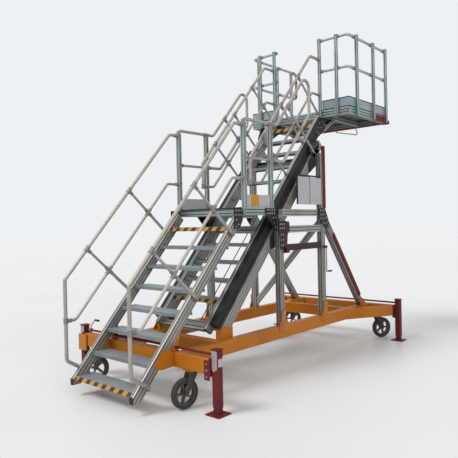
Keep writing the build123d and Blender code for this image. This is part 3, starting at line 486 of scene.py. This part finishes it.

# The platform's frame is deep profile round its edge and two lighter bearers, with painted shade underneath.
# Ten guard posts stand on its outside, and a small black plastic cap closes each post's head.
platform_edge = anodised("platform_edge", (0.38, 0.46, 0.46), along="Y", shade_below=0.9)
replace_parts(piece("platform_frame_profiles", [
    level_bar(0.060, 0.105, 2, x, 3.3525, 1.2695, 2.353) for x in (-0.830, 0.830)] + [
    level_bar(0.045, 0.075, 1, x, 3.3375, 1.2695, 2.293) for x in (-0.3975, 0.3975)] + [
    cross_bar(0.060, 0.105, 2, 1.2395, 3.3525, 0.860), cross_bar(0.060, 0.075, 1, 2.323, 3.3375, 0.800)],
    platform_edge, "lift", fill=True), "platform_frame")
platform_profile = anodised("platform_profile", (0.42, 0.50, 0.50))
post_feet = [(side * x, y) for side in (-1, 1) for x, y in (
    (0.404, 1.1895), (0.680, 1.1895), (0.880, 1.4125), (0.880, 1.9125), (0.880, 2.320))]
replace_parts(piece("platform_post_profiles", [upright(0.040, 1, x, y, 3.300, 4.432) for x, y in post_feet],
                  platform_profile, "lift", fill=True), "platform_posts")


def plain(outline):
    """A section without slots."""
    return np.array(outline, float), np.zeros(len(outline))


def oblong(a0, a1, b0, b1):
    """The four corners between two values of each coordinate."""
    return [(a0, b0), (a1, b0), (a1, b1), (a0, b1)]


cap_plastic = coat("cap_plastic", (0.020, 0.020, 0.022), (0.06, 0.06, 0.06), rough=0.5, wear=0.0)
lid = plain(oblong(-0.0195, 0.0195, -0.0195, 0.0195))
piece("platform_post_caps", [carried(lid, (x, y, 0), X, Y, [((0, 0, 4.430), Z)], [((0, 0, 4.4348), Z)])
                             for x, y in post_feet], cap_plastic, "lift", fill=True, bevel=0.0012)


# Treads and decks are ribbed aluminium plank, dull blue grey from use, with painted shade underneath, on their fronts
# and between the ribs.
# Fine ribs run across the stair on the top and down the front edge.
def ribbed(name, colour, rib_pitch=0.011):
    """Worn plank: a wave along the climb on faces that look up, and one up the height on the others, gives
    ribs a pitch apart. The colour is clouded, with painted shade between the ribs and on faces that look forward,
    and faces that look down are painted near black as shade."""
    waves_at_scale_one = 3.1831
    metal = Finish(name)
    rows, risers = (metal.node("TexWave", "Fac", Vector=metal.place, bands_direction=way,
                               Scale=1 / rib_pitch / waves_at_scale_one, Distortion=0.0) for way in "YZ")
    facing = {way: metal.node("SeparateXYZ", way, _0=metal.node("NewGeometry", "True Normal")) for way in "YZ"}
    wave = metal.node("Mix", Factor=metal.reckon("GREATER_THAN", facing["Z"], 0.5), _2=risers, _3=rows)
    tone = metal.toned(metal.noise(4.0, 6.0, 0.65), 0.3, [c * 0.7 for c in colour], 0.68, colour)
    # Painted shade: the colour is darker in the grooves between the ribs and on faces that look forward.
    depth = metal.reckon("MULTIPLY", metal.span(wave, 0.0, 0.5, 0.62), metal.span(facing["Y"], -0.8, -0.2, 0.66))
    shaded = metal.node("VectorMath", operation="SCALE", _0=tone, Scale=depth)
    # Painted shade: faces that look down are mixed towards near black.
    shaded_below = metal.mixed(metal.reckon("LESS_THAN", facing["Z"], -0.5), shaded, (0.022, 0.021, 0.018))
    return metal.shade(Base_Color=shaded_below, Normal=metal.bump(wave, 0.5, 0.0025), Metallic=0.55, Roughness=0.5)


plank = ribbed("ribbed_plank", (0.43, 0.485, 0.51))
dress(plank, "lower_treads", "upper_treads", "landing_deck", "platform_deck")


# Black and yellow warning tape covers the first and last nose of each flight.
# It is printed vinyl, stuck on and scuffed grey by shoes.
def warning_tape(name, first, second, sign, pitch=0.137):
    """Slanting stripes: the first coordinate plus or minus the second, counted in pairs of stripes, is
    black in its upper half and amber in its lower one, and noise scuffs both."""
    vinyl = Finish(name)
    split = [vinyl.node("SeparateXYZ", way, _0=vinyl.place) for way in (first, second)]
    turns = vinyl.reckon("FRACT", vinyl.reckon("DIVIDE", vinyl.reckon(sign, *split), pitch))
    stripes = vinyl.mixed(vinyl.reckon("GREATER_THAN", turns, 0.5), (0.56, 0.27, 0.02), (0.025, 0.022, 0.02))
    scuffed = vinyl.span(vinyl.noise(30.0, 6.0, 0.7), 0.56, 0.7, 0, 0.5)
    return vinyl.shade(Base_Color=vinyl.mixed(scuffed, stripes, (0.33, 0.29, 0.24)), Roughness=0.5)


tape = warning_tape("warning_tape", "X", "Z", "SUBTRACT")
dress(tape, "lower_noses", "upper_noses")

# The lower stair's handrails are bent aluminium tube, satin and slightly warm, joined by cast clamps.
# Each tube is drawn again as a round one over its faceted solid, on the same straight runs and bends.
# Braces square to the slope stand in pads beside the stringers.
tube_metal = anodised("handrail_tube", (0.44, 0.41, 0.365), lean=-42, rough=0.42)
clamp_metal = plated("cast_clamp", (0.30, 0.28, 0.255), rough=0.5, metallic=0.5)
slope = math.tan(stair_angle)


def route(points, bends):
    """Straight runs joined by arcs: each corner is replaced by points on the circle of its bend radius
    that touches both runs, a step for every seven degrees of turn."""
    points = np.asarray(points, float)
    steps = [points[:1]]
    for before, corner, after, bend in zip(points, points[1:], points[2:], bends):
        into = (corner - before) / np.linalg.norm(corner - before)
        away = (after - corner) / np.linalg.norm(after - corner)
        turn = math.acos(float(np.clip(into @ away, -1, 1)))
        reach = bend * math.tan(turn / 2)
        inward = (away - into @ away * into) / math.sin(turn)
        angle = np.linspace(0, turn, max(3, round(math.degrees(turn) / 7)))[:, None]
        steps.append(corner - into * reach + bend * (np.sin(angle) * into + (1 - np.cos(angle)) * inward))
    steps.append(points[-1:])
    return np.concatenate(steps)


def tube(path, radius, sides=20, beside=(1, 0, 0)):
    """A circle carried along a path, square to it at each step, and closed at both ends.
    The direction beside is never along the path, so the section does not flip."""
    path = np.concatenate([path[:1], path, path[-1:]])
    ahead = np.gradient(path[1:-1], axis=0)
    ahead = np.concatenate([ahead[:1], ahead, ahead[-1:]])
    ahead /= np.linalg.norm(ahead, axis=1, keepdims=True)
    across = np.cross(ahead, beside)
    across /= np.linalg.norm(across, axis=1, keepdims=True)
    other = np.cross(ahead, across)
    size = np.full(len(path), radius)
    size[[0, -1]] = 0
    turn = np.arange(sides) * 2 * np.pi / sides
    points = path[:, None] + size[:, None, None] * (np.cos(turn)[None, :, None] * across[:, None]
                                                    + np.sin(turn)[None, :, None] * other[:, None])
    step, ring = np.meshgrid(np.arange(len(path) - 1), np.arange(sides), indexing="ij")
    beside_ring = (ring + 1) % sides
    faces = np.stack([step * sides + ring, step * sides + beside_ring, (step + 1) * sides + beside_ring,
                      (step + 1) * sides + ring], axis=-1).reshape(-1, 4)
    return points.reshape(-1, 3), faces


def collar(radius, length):
    """A cast sleeve round a tube, its outline thicker at both rims."""
    half = length / 2
    return spun([(radius, -half), (radius + 0.0055, -half), (radius + 0.0065, 0.002 - half),
                 (radius + 0.0065, 0.009 - half), (radius + 0.0042, 0.011 - half), (radius + 0.0042, half - 0.011),
                 (radius + 0.0065, half - 0.009), (radius + 0.0065, half - 0.002), (radius + 0.0055, half),
                 (radius, half)], 20)


def clamps(*groups):
    """Collars for groups of (radius, length, direction, places)."""
    return [copies(collar(radius, length), stood(places, direction)) for radius, length, direction, places in groups]


def lower_line(y, rise):
    """The height at y of a line that runs with the lower flight, so far above its noses."""
    return low_nose[1] + slope * (y - low_nose[0]) + rise


def sloped(places):
    """Frames at the given places, turned with the stairs: X across, Y square to the slope, Z along it."""
    frames = np.zeros((len(places), 4, 4))
    frames[:, :3, 0], frames[:, :3, 1], frames[:, :3, 2], frames[:, :3, 3] = X, square, climb, places
    frames[:, 3, 3] = 1
    return frames


def block(low, high):
    """The six quads of a box between two corners, facing outwards."""
    points = np.stack(np.meshgrid(*zip(low, high), indexing="ij"), axis=-1).reshape(-1, 3)
    faces = np.array([(0, 1, 3, 2), (4, 6, 7, 5), (0, 4, 5, 1), (2, 3, 7, 6), (0, 2, 6, 4), (1, 5, 7, 3)])
    return points, faces


top_r, knee_r, brace_r, sleeve_r = 0.020, 0.017, 0.015, 0.0185
newel_y, rail_end_y, bend_y, knee_y = -2.422, -0.74888, -0.88388, -0.93388
low_rise, low_knee = 1.112, 0.539
low_top_z, low_knee_z = lower_line(bend_y, low_rise), lower_line(knee_y, low_knee)
for name, side in (("left", -1), ("right", 1)):
    x, knee_foot = side * rail_x, lower_line(newel_y + 0.118, low_knee)
    parts = [
        tube(route([(x, -2.200, 0.236), (x, newel_y, 0.377), (x, newel_y, lower_line(newel_y, low_rise)),
                    (x, bend_y, low_top_z), (x, rail_end_y, low_top_z)], [0.055, 0.055, 0.055]), top_r),
        tube(route([(x, newel_y, knee_foot), (x, newel_y + 0.118, knee_foot), (x, knee_y, low_knee_z),
                    (x, rail_end_y, low_knee_z)], [0.060, 0.060]), knee_r),
    ]
    tops = np.array([(x, y, lower_line(y, low_rise)) for y in (-2.140, -1.545)])
    length, reach = low_rise * climb[1] + 0.078, (low_rise - low_knee) * climb[1]
    crossing, feet = tops + reach * square, tops + (length - 0.023) * square
    parts += [tube(np.array([top, top + length * square]), brace_r) for top in tops]
    parts += [tube(np.array([cross, cross + (length - reach) * square]), sleeve_r) for cross in crossing]
    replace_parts(piece("lower_rail_tube_" + name, parts, tube_metal, "base"), "lower_rail_" + name)
    foot, foot_way, pad = (x, -2.245, 0.2646), np.array([0, 0.222, -0.141]), side * 0.0102
    piece("lower_rail_clamps_" + name, clamps(
        (top_r, 0.070, climb, tops), (brace_r, 0.045, square, tops + 0.040 * square),
        (knee_r, 0.100, climb, crossing), (0.0165, 0.100, square, crossing), (sleeve_r, 0.040, square, feet),
        (top_r, 0.060, Z, [(x, newel_y, knee_foot)]), (knee_r, 0.045, Y, [(x, newel_y + 0.045, knee_foot)]),
        (top_r, 0.050, Y, [(x, rail_end_y - 0.024, low_top_z)]),
        (knee_r, 0.050, Y, [(x, rail_end_y - 0.024, low_knee_z)]), (top_r, 0.045, foot_way, [foot])) + [
        copies(block((-0.0102, -0.030, -0.023), (0.0102, 0.022, 0.023)), sloped(feet - (pad, 0, 0))),
        copies(block((-0.0102, -0.020, -0.024), (0.0102, 0.020, 0.024)),
               stood([(x - pad, *foot[1:])], foot_way))], clamp_metal, "base")


# The guard beside the landing runs from post to post and on in a long loop beside the moving flight.
# A brace ties the loop to the joint plate, with crossed clamps where the tubes meet.
def upper_line(y, rise):
    """The height at y of a line that runs with the moving flight, so far above its noses."""
    return up_nose[1] + slope * (y - up_nose[0]) + rise


guard_z, mid_z, loop_end_y, loop_rise, loop_knee = 3.020, 2.572, 0.680, 1.038, 0.443
for name, side in (("left", -1), ("right", 1)):
    x = side * rail_x
    top_y, low_y = (up_nose[0] + (z - rise - up_nose[1]) / slope
                    for z, rise in ((guard_z, loop_rise), (mid_z, loop_knee)))
    brace_top = np.array([(x, 0.174, upper_line(0.174, loop_rise))])
    crossing = brace_top + (loop_rise - loop_knee) * climb[1] * square
    parts = [
        tube(route([(x, landing_front, 2.976), (x, landing_front, guard_z), (x, top_y, guard_z),
                    (x, loop_end_y, upper_line(loop_end_y, loop_rise)),
                    (x, loop_end_y, upper_line(loop_end_y, loop_knee)), (x, low_y, mid_z),
                    (x, landing_rear + 0.025, mid_z)], [0.040, 0.060, 0.095, 0.080, 0.060]), top_r),
        tube(np.concatenate([brace_top, brace_top + (loop_rise * climb[1] + 0.1135) * square]), brace_r),
        tube(np.array([(x, landing_front + 0.025, mid_z), (x, landing_rear - 0.025, mid_z)]), knee_r),
    ]
    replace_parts(piece("landing_rail_tube_" + name, parts, tube_metal, "base"), "landing_rail_" + name)
    piece("landing_rail_clamps_" + name, clamps(
        (top_r, 0.070, climb, brace_top), (brace_r, 0.045, square, brace_top + 0.040 * square),
        (top_r, 0.095, climb, crossing), (brace_r, 0.095, square, crossing),
        (top_r, 0.036, Z, [(x, landing_front, 2.992)]), (top_r, 0.090, Y, [(x, landing_rear, guard_z)]),
        (knee_r, 0.045, Y, [(x, landing_front + 0.046, mid_z), (x, landing_rear - 0.046, mid_z)]),
        (top_r, 0.045, Y, [(x, landing_rear + 0.046, mid_z)])), clamp_metal, "base")


# Clamp bands of cast metal go round each landing post where a rail meets it.
# They are square sleeves with rounded corners, split by the post.
def band(half, height):
    """A square sleeve round a post: an outline of eight corners carried up, thicker at both rims."""
    cut = half - 0.005
    corner = np.array([(half, cut), (cut, half), (-cut, half), (-half, cut), (-half, -cut), (-cut, -half), (cut, -half),
                       (half, -cut)])
    scale = np.array([0.97, 1.07, 1.10, 1.10, 1.05, 1.05, 1.10, 1.10, 1.07, 0.97])
    rise = np.array([0, 0, 0.002, 0.009, 0.011, height - 0.011, height - 0.009, height - 0.002, height, height])
    points = np.concatenate([np.broadcast_to(corner, (10, 8, 2)) * scale[:, None, None],
                             np.broadcast_to((rise - height / 2)[:, None, None], (10, 8, 1))], axis=2).reshape(-1, 3)
    step, ring = np.meshgrid(np.arange(9), np.arange(8), indexing="ij")
    faces = np.stack([step * 8 + ring, step * 8 + (ring + 1) % 8, (step + 1) * 8 + (ring + 1) % 8,
                      (step + 1) * 8 + ring], axis=-1).reshape(-1, 4)
    return points, faces


landing_bands = [(side * rail_x, y, z) for side in (-1, 1) for y, z in (
    (landing_front, low_top_z), (landing_front, low_knee_z), (landing_front, mid_z), (landing_rear, mid_z),
    (landing_rear, 2.972))]
piece("landing_post_bands", [copies(band(0.025, 0.050), stood(landing_bands, Z))], clamp_metal, "base", sharp=50)

# The moving flight's handrails ride with it; three braces a side stand on its stringers.
# Their heads end in clamps on the platform's inner posts.
foot_y, head_y, up_rise, up_knee = -0.430, 1.1695, 1.026, 0.493
foot_top, knee_foot = upper_line(foot_y, up_rise), upper_line(foot_y + 0.200, up_knee)
up_bend_y, up_knee_y = head_y - 0.225, head_y - 0.205
up_top_z, up_knee_z = upper_line(up_bend_y, up_rise), upper_line(up_knee_y, up_knee)
for name, x in (("left", -0.404), ("right", 0.404)):
    parts = [
        tube(route([(x, foot_y, foot_top - 0.320), (x, foot_y, foot_top), (x, up_bend_y, up_top_z),
                    (x, head_y, up_top_z)], [0.055, 0.055]), top_r),
        tube(route([(x, foot_y, knee_foot), (x, foot_y + 0.200, knee_foot), (x, up_knee_y, up_knee_z),
                    (x, head_y, up_knee_z)], [0.060, 0.060]), knee_r),
    ]
    tops = np.array([(x, y, upper_line(y, up_rise)) for y in (-0.184, 0.226, 0.636)])
    length, crossing = up_rise * climb[1] - 0.012, tops + (up_rise - up_knee) * climb[1] * square
    parts += [tube(np.array([top, top + length * square]), brace_r) for top in tops]
    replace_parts(piece("upper_rail_tube_" + name, parts, tube_metal, "lift"), "upper_rail_" + name)
    piece("upper_rail_clamps_" + name, clamps(
        (top_r, 0.070, climb, tops), (brace_r, 0.045, square, tops + 0.040 * square),
        (knee_r, 0.095, climb, crossing), (brace_r, 0.095, square, crossing),
        (brace_r, 0.030, square, tops + (length - 0.018) * square), (top_r, 0.060, Z, [(x, foot_y, knee_foot)]),
        (knee_r, 0.045, Y, [(x, foot_y + 0.045, knee_foot)]), (top_r, 0.050, Y, [(x, head_y - 0.024, up_top_z)]),
        (knee_r, 0.050, Y, [(x, head_y - 0.024, up_knee_z)])), clamp_metal, "lift")

# The platform's guard is one closed loop of cooler grey tube a side, clamped inside its posts.
# The rear bend of the left loop is wound with black and yellow tape.
guard_tube = anodised("platform_guard_tube", (0.44, 0.51, 0.52), along="Y", rough=0.42)
loop_x, loop_y, loop_back, upper_z, lower_z = 0.8397, 1.2298, 2.420, 4.415, 3.970
for name, side in (("left", -1), ("right", 1)):
    path = route([(side * x, y, z) for x, y, z in (
        (0.384, loop_y, upper_z), (loop_x, loop_y, upper_z), (loop_x, loop_back, upper_z), (loop_x, loop_back, lower_z),
        (loop_x, loop_y, lower_z), (0.384, loop_y, lower_z))], [0.070] * 4)
    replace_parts(piece("platform_rail_tube_" + name, [tube(path, top_r, beside=(0.5, 0.6, 0.62))], guard_tube, "lift"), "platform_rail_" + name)
    front = [(side * x, loop_y, z) for x in (0.404, 0.680) for z in (upper_z, lower_z)]
    flank = [(side * loop_x, y, z) for y in (1.4125, 1.9125, 2.320) for z in (upper_z, lower_z)]
    piece("platform_rail_clamps_" + name, clamps((top_r, 0.055, X, front), (top_r, 0.055, Y, flank)),
          clamp_metal, "lift")
wound_tape = warning_tape("wound_tape", "Y", "Z", "ADD")
wound = [(-loop_x, y, z) for y, z in (
    (2.345, upper_z), (loop_back, upper_z), (loop_back, lower_z), (2.345, lower_z))]
piece("left_loop_tape", [tube(route(wound, [0.070, 0.070]), top_r + 0.0006)], wound_tape, "lift")
post_bands = [(x, y, z) for x, y in post_feet for z in (4.395, 3.970)]
piece("platform_post_bands", [copies(band(0.020, 0.045), stood(post_bands, Z))], clamp_metal, "lift", sharp=50)

# Black joint plates of folded steel tie the posts, guides and landing together.
# They are satin black paint, and their bolts show bright against it.
black = coat("black_paint", (0.012, 0.013, 0.016), (0.060, 0.054, 0.048), rough=0.42, wear=0.6, bare=(0.3, 0.3, 0.3))
dress(black, "joint_plates", "carriage_plates")
joint_places = [(x, y, z) for x, across, heights in (
    (0.590, (-0.345, -0.300, -0.255, -0.210), (1.958, 1.915)), (0.642, (-0.165, -0.125, -0.085), (1.830, 1.780, 1.730)),
    (0.642, (-0.147, -0.107), (1.650, 1.585, 1.520)), (0.642, (0.760, 0.805, 0.850), (1.955, 1.900, 1.845)),
    (0.536, (-0.870, -0.820, -0.775), (1.950, 1.900))) for y in across for z in heights]
joint_places += [(x, y, z) for x, spots in (
    (0.590, ((-0.235, 1.860), (-0.195, 1.860), (-0.215, 1.800), (-0.190, 1.745))),
    (0.642, ((0.905, 1.850), (0.935, 1.790), (0.890, 1.780), (0.960, 1.745), (0.840, 1.785))),
    (0.536, ((-0.865, 1.845), (-0.830, 1.790), (-0.870, 1.760)))) for y, z in spots]
side_bolts("joint_bolts", joint_places, "base")
side_bolts("carriage_bolts", [(0.432, y, z) for y, z in (
    (1.120, 3.270), (1.180, 3.270), (1.240, 3.270), (1.300, 3.270), (1.360, 3.275), (1.420, 3.280),
    (1.100, 3.220), (1.160, 3.220), (1.220, 3.220), (1.280, 3.220), (1.190, 3.170))], "lift")

# Thin black rubber bands line the flanks of the moving flight.
# The same rubber covers the cranks' grips and the edges of the landing and the toe boards.
band_rubber = coat("band_rubber", (0.014, 0.015, 0.018), (0.055, 0.052, 0.048), rough=0.6, peel=0.2, wear=0.2)
dress(band_rubber, "side_bands")


# Flat black plates cut from sheet stand beside the profiles at each guide's head and each carriage.
# A spacer holds the carriage's outer plate off its inner one, and bolts with washers fix them all.
def cut_plate(outline, x0, x1):
    """A plate square to X: its outline in Y and Z, between two values of X."""
    return carried(plain(outline), (0, 0, 0), Y, Z, [((x0, 0, 0), X)], [((x1, 0, 0), X)])


def both_sides(outline, low, high):
    """A plate on the right, between two distances from the middle, and its mirror image."""
    return [cut_plate(outline, *sorted((side * low, side * high))) for side in (-1, 1)]


head_plate = [(0.656, 2.770), (0.735, 2.885), (0.900, 2.905), (0.906, 2.700), (0.740, 2.690)]
piece("guide_head_plates", both_sides(head_plate, 0.540, 0.552), black, "base", fill=True, bevel=0.001)
side_bolts("guide_head_bolts", [(0.552, y, z) for y, z in (
    (0.720, 2.760), (0.790, 2.745), (0.860, 2.740), (0.760, 2.830), (0.830, 2.850), (0.875, 2.810))], "base")
carriage = [(0.872, 3.072), (0.962, 3.247), (1.080, 3.262), (1.190, 3.200), (1.117, 3.086), (0.952, 2.981)]
spacer = [(1.000, 3.110), (1.030, 3.240), (1.110, 3.240), (1.095, 3.130)]
piece("carriage_outer_plates", both_sides(carriage, 0.498, 0.506) + both_sides(spacer, 0.432, 0.498),
      black, "lift", fill=True, bevel=0.001)
side_bolts("carriage_outer_bolts", [(0.506, y, z) for y, z in (
    (0.925, 3.060), (0.960, 3.120), (1.000, 3.190), (1.040, 3.130), (1.075, 3.210), (0.975, 3.035), (1.120, 3.180))],
    "lift")

# Orange cheeks cut from sheet are welded where the stringers and guides meet the chassis.
# An upright one at the foot of each post is bolted.
post_cheeks = [oblong(y - 0.042, y + 0.042, 0.450, 0.715) for y in (front_post_y, rear_post_y)]
piece("post_foot_cheeks", [cheek for outline in post_cheeks for cheek in both_sides(outline, 0.640, 0.648)],
      amber, "base", fill=True, bevel=0.001)
side_bolts("post_cheek_bolts", [(0.648, y + dy, z) for y in (front_post_y, rear_post_y) for dy in (-0.020, 0.020)
                                for z in (0.620, 0.680)], "base")
stringer_cheek = [(-2.122, 0.433), (-2.009, 0.548), (-1.925, 0.556), (-1.880, 0.523), (-1.880, 0.375), (-2.038, 0.367),
                  (-2.085, 0.384)]
guide_cheek = [(-1.262, 0.490), (-1.144, 0.656), (-0.976, 0.640), (-1.030, 0.545), (-1.100, 0.455), (-1.200, 0.450)]
piece("welded_cheeks", both_sides(stringer_cheek, 0.526, 0.534) + both_sides(guide_cheek, 0.531, 0.539),
      amber, "base", fill=True, bevel=0.001)

# A short strut of profile props each side of the platform from its carriage plate.
# It is cut level under the frame and upright at the plate.
prop = np.array([0, 0.317, 0.187]) / math.hypot(0.317, 0.187)
piece("platform_props", [carried(slotted(0.040, 0.050), (x, 1.150, 3.107), X, np.cross(prop, X), [((0, 1.120, 0), Y)],
                                 [((0, 0, 3.300), Z)]) for x in (-0.455, 0.455)], leaning_profile, "lift", fill=True)


# Each front jack shows its gear: a bare steel cheek with a pointed foot on the front and a dark red
# block on the side. The right one has a blank label, and the left one an orange plate bolted to it.
def face_plate(outline, y0, y1):
    """A plate square to Y: its outline in Z and X, between two values of Y."""
    return carried(plain(outline), (0, 0, 0), Z, X, [((0, y0, 0), Y)], [((0, y1, 0), Y)])


gear_steel = plated("gear_cheek_steel", (0.42, 0.40, 0.38), rough=0.45, metallic=0.5)
piece("jack_gear_cheeks", [face_plate([(z, side * x) for z, x in (
    (0.430, 1.060), (0.408, 1.084), (0.436, 1.128), (0.606, 1.128), (0.606, 1.060))], -1.8725, -1.868)
    for side in (-1, 1)], gear_steel, "base", fill=True, bevel=0.001)
piece("jack_gear_blocks", both_sides(oblong(-1.862, -1.798, 0.543, 0.606), 1.132, 1.138),
      dark_red, "base", fill=True, bevel=0.0015)
board_paint = coat("board_paint", (0.46, 0.44, 0.46), (0.32, 0.30, 0.29), rough=0.5, wear=0.1)
piece("jack_label", [cut_plate(oblong(-1.857, -1.795, 0.456, 0.532), 1.132, 1.1335)], board_paint, "base", fill=True)
piece("jack_beam_plate", [face_plate(oblong(0.322, 0.513, -1.138, -0.977), -1.8965, -1.8885)],
      amber, "base", fill=True, bevel=0.0015)
jack_bolts = [(x, y, z) for x, y, heights in (
    (1.0075, -1.888, (0.352, 0.415, 0.478)), (-1.010, -1.8965, (0.352, 0.482)), (-1.095, -1.8965, (0.352, 0.482)))
    for z in heights]
piece("jack_plate_bolts", [copies(bolt, stood(jack_bolts, -Y))], zinc, "base")


# The front crank is a thin bright rod with a short black grip; the winch crank hangs from its shaft.
# Both are pinned to their shafts by a round boss.
def boss(inner, outer, half):
    """A ring round a shaft, its rims chamfered by a millimetre."""
    return spun([(inner, -half), (outer - 0.001, -half), (outer, 0.001 - half), (outer, half - 0.001),
                 (outer - 0.001, half), (inner, half), (inner, -half)], 24)


def grip(outline, place, direction):
    """A turned handle that stands at a place along a direction."""
    return copies(spun(outline, 20), stood([place], direction))


crank_steel = plated("crank_steel", (0.40, 0.39, 0.37), rough=0.4, metallic=0.6)
shaft_x, shaft_y, winch_x, winch_y = -0.969, -1.830, 0.652, 0.878
made = piece("crank_rods", [
    copies(boss(0.0135, 0.025, 0.006), stood([(shaft_x, shaft_y, 0.562)], X)),
    tube(route([(shaft_x, shaft_y, 0.582), (shaft_x, shaft_y, 0.610), (-0.890, shaft_y, 0.689),
                (-0.860, shaft_y, 0.689)], [0.015, 0.020]), 0.0065, beside=Y),
    copies(boss(0.0085, 0.020, 0.009), stood([(winch_x, winch_y, 1.457)], Y)),
    tube(route([(winch_x, winch_y, 1.442), (winch_x, winch_y, 1.117), (winch_x, 0.915, 1.117)], [0.012]), 0.009)],
    crank_steel, "base")
piece("crank_grips", [
    grip([(0, -0.040), (0.010, -0.040), (0.013, -0.034), (0.0115, 0), (0.013, 0.034), (0.010, 0.040), (0, 0.040)],
         (-0.842, shaft_y, 0.689), X),
    grip([(0, -0.052), (0.009, -0.052), (0.012, -0.046), (0.0115, 0), (0.0125, 0.046), (0.010, 0.052), (0, 0.052)],
         (winch_x, 0.955, 1.117), Y)], band_rubber, "base")
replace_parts(made, "hand_cranks")

# The landing's toe boards are pale painted sheet, and the right one has a plain orange patch.
# A black rubber nosing runs along the landing's front edge.
dress(board_paint, "landing_toe_boards")
patch_paint = coat("patch_paint", (0.55, 0.25, 0.012), (0.35, 0.13, 0.02), rough=0.5)
piece("landing_board_patch", [cut_plate(oblong(-0.610, -0.460, 2.003, 2.135), 0.5520, 0.5528)],
      patch_paint, "base", fill=True)
piece("landing_nosing", [cut_plate(oblong(-0.7515, -0.728, 1.972, 1.991), -0.520, 0.520)],
      band_rubber, "base", fill=True, bevel=0.002)

# The platform's toe boards are grey-blue sheet with a black trim along both edges.
# Caps of the same sheet close the ends of the frames' beams.
toe_metal = anodised("toe_board_metal", (0.33, 0.41, 0.43), along="Y", metallic=0.3)
dress(toe_metal, "platform_toe_boards")
trims = []
for z in (3.405, 3.533):
    trims += both_sides(oblong(1.2095, 2.353, z, z + 0.012), 0.860, 0.8625)
    trims += [face_plate(oblong(z, z + 0.012, side * 0.430, side * 0.860), 1.2070, 1.2095) for side in (-1, 1)]
piece("platform_toe_trims", trims, band_rubber, "lift", fill=True)
piece("platform_beam_caps", both_sides(oblong(1.2105, 1.2685, 3.301, 3.404), 0.860, 0.8615),
      toe_metal, "lift", fill=True)
piece("fixed_beam_caps", [face_plate(oblong(z0, z1, side * x0, side * x1), y0, y1) for side in (-1, 1)
                          for z0, z1, x0, x1, y0, y1 in ((1.899, 1.987, 0.521, 0.579, -0.7504, -0.7489),
                                                         (1.901, 1.968, 0.563, 0.621, -0.0885, -0.0870))],
      toe_metal, "base", fill=True)

# Two blank notice boards of the same pale sheet hang before the right rear post.
# They are fixed to a frame of black bar.
boards = [cut_plate(oblong(y, y + 0.265, 2.034, 2.392), 0.632, 0.638) for y in (0.248, 0.528)]
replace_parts(piece("notice_boards", boards, board_paint, "base", fill=True, bevel=0.001), "sign_boards")
bars = [block((0.612, 0.243, z), (0.6319, 0.803, z + 0.020)) for z in (2.0335, 2.400)]
bars += [block((0.6122, y, 2.034), (0.6317, y + 0.020, 2.4195)) for y in (0.2432, 0.5105)]
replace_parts(piece("notice_frame", bars, black, "base"), "sign_frame")

# The winch lies in a beam of dark brown steel box, with a dark red bracket, gear and bearing.
# The box is drawn over the beam, and its edges are folded round.
winch_red = coat("winch_dark_red", (0.085, 0.012, 0.011), (0.05, 0.018, 0.013))
dress(winch_red, "winch_beam")
winch_brown = coat("winch_brown", (0.040, 0.024, 0.024), (0.09, 0.07, 0.06), rough=0.5)
piece("winch_box", [carried(plain(oblong(-0.031, 0.031, -0.041, 0.041)), (post_x, 0, 1.485), X, -Z,
                            [((0, -0.0865, 0), Y)], [((0, 0.8025, 0), Y)])],
      winch_brown, "base", fill=True, bevel=0.004)

# The hoist rope is dark steel wire, in the finish of the castors' forks.
# It runs taut under the ties of the guides, between two eye blocks.
dress(dark_steel, "hoist_rope")

# Rubber guards wrap the edges of the rear posts and the raking legs.
# They are dull dark red, folded round each profile's edge, and pressed on.
red_rubber = coat("red_rubber", (0.155, 0.016, 0.021), (0.09, 0.02, 0.026), rough=0.7, peel=0.2, wear=0.0)
post_guard = [(0.592, 0.8832), (0.6322, 0.8832), (0.6322, 0.846), (0.640, 0.846), (0.6415, 0.850), (0.6415, 0.905),
              (0.638, 0.911), (0.632, 0.913), (0.600, 0.913), (0.592, 0.907)]
leg_guard = [(0.000, 0.0402), (0.0402, 0.0402), (0.0402, -0.012), (0.048, -0.012), (0.0495, -0.008), (0.0495, 0.052),
             (0.045, 0.058), (0.006, 0.058), (0.000, 0.053)]
leg_cap = [(0.000, 0.0402), (0.0402, 0.0402), (0.0402, 0.053), (0.036, 0.058), (0.006, 0.058), (0.000, 0.053)]
strips = []
for side in (-1, 1):
    foot = np.array([side * post_x, leg_foot_y, beam_top])
    strips.append(carried(plain(np.array(post_guard) * (side, 1)), (0, 0, 0), X, Y, [((0, 0, 1.986), Z)],
                          [((0, 0, 2.840), Z)]))
    for outline, low, high in ((leg_guard, 0.190, 1.380), (leg_cap, 1.380, 1.6366)):
        strips.append(carried(plain(np.array(outline) * (side, 1)), foot, X, np.cross(leg_way, X),
                              [(foot + low * leg_way, leg_way)], [(foot + high * leg_way, leg_way)]))
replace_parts(piece("edge_guards", strips, red_rubber, "base", fill=True, bevel=0.002),
            "bumper_strips")

# The platform's rear edge has a bumper of the same rubber, with a lip under it and deeper ends.
# A flat guard covers the rear corner of each side.
dress(red_rubber, "rear_bumper")
piece("bumper_corner_guards", both_sides(oblong(1.960, 2.383, 3.302, 3.394), 0.8605, 0.867),
      red_rubber, "lift", fill=True, bevel=0.0015)
lip = [(2.286, 3.295), (2.383, 3.295), (2.383, 3.3405), (2.3535, 3.3405), (2.3535, 3.2995), (2.2925, 3.2995),
       (2.2925, 3.311), (2.286, 3.311)]
piece("rear_bumper_lip", [cut_plate(lip, -0.800, 0.800)] + both_sides(oblong(2.342, 2.383, 3.288, 3.342), 0.800, 0.902),
      red_rubber, "lift", fill=True, bevel=0.0015)

# A thin bent bar of aluminium hangs under the platform's rear beam.
# Its two ends are fixed to the beam's underside.
bar_line = [(x, 2.300, z) for x, z in ((0.368, 3.300), (0.405, 3.175), (0.020, 3.262), (0.004, 3.297))]
piece("underside_bar", [tube(route(bar_line, [0.020, 0.015]), 0.008, beside=Y)], guard_tube, "lift")
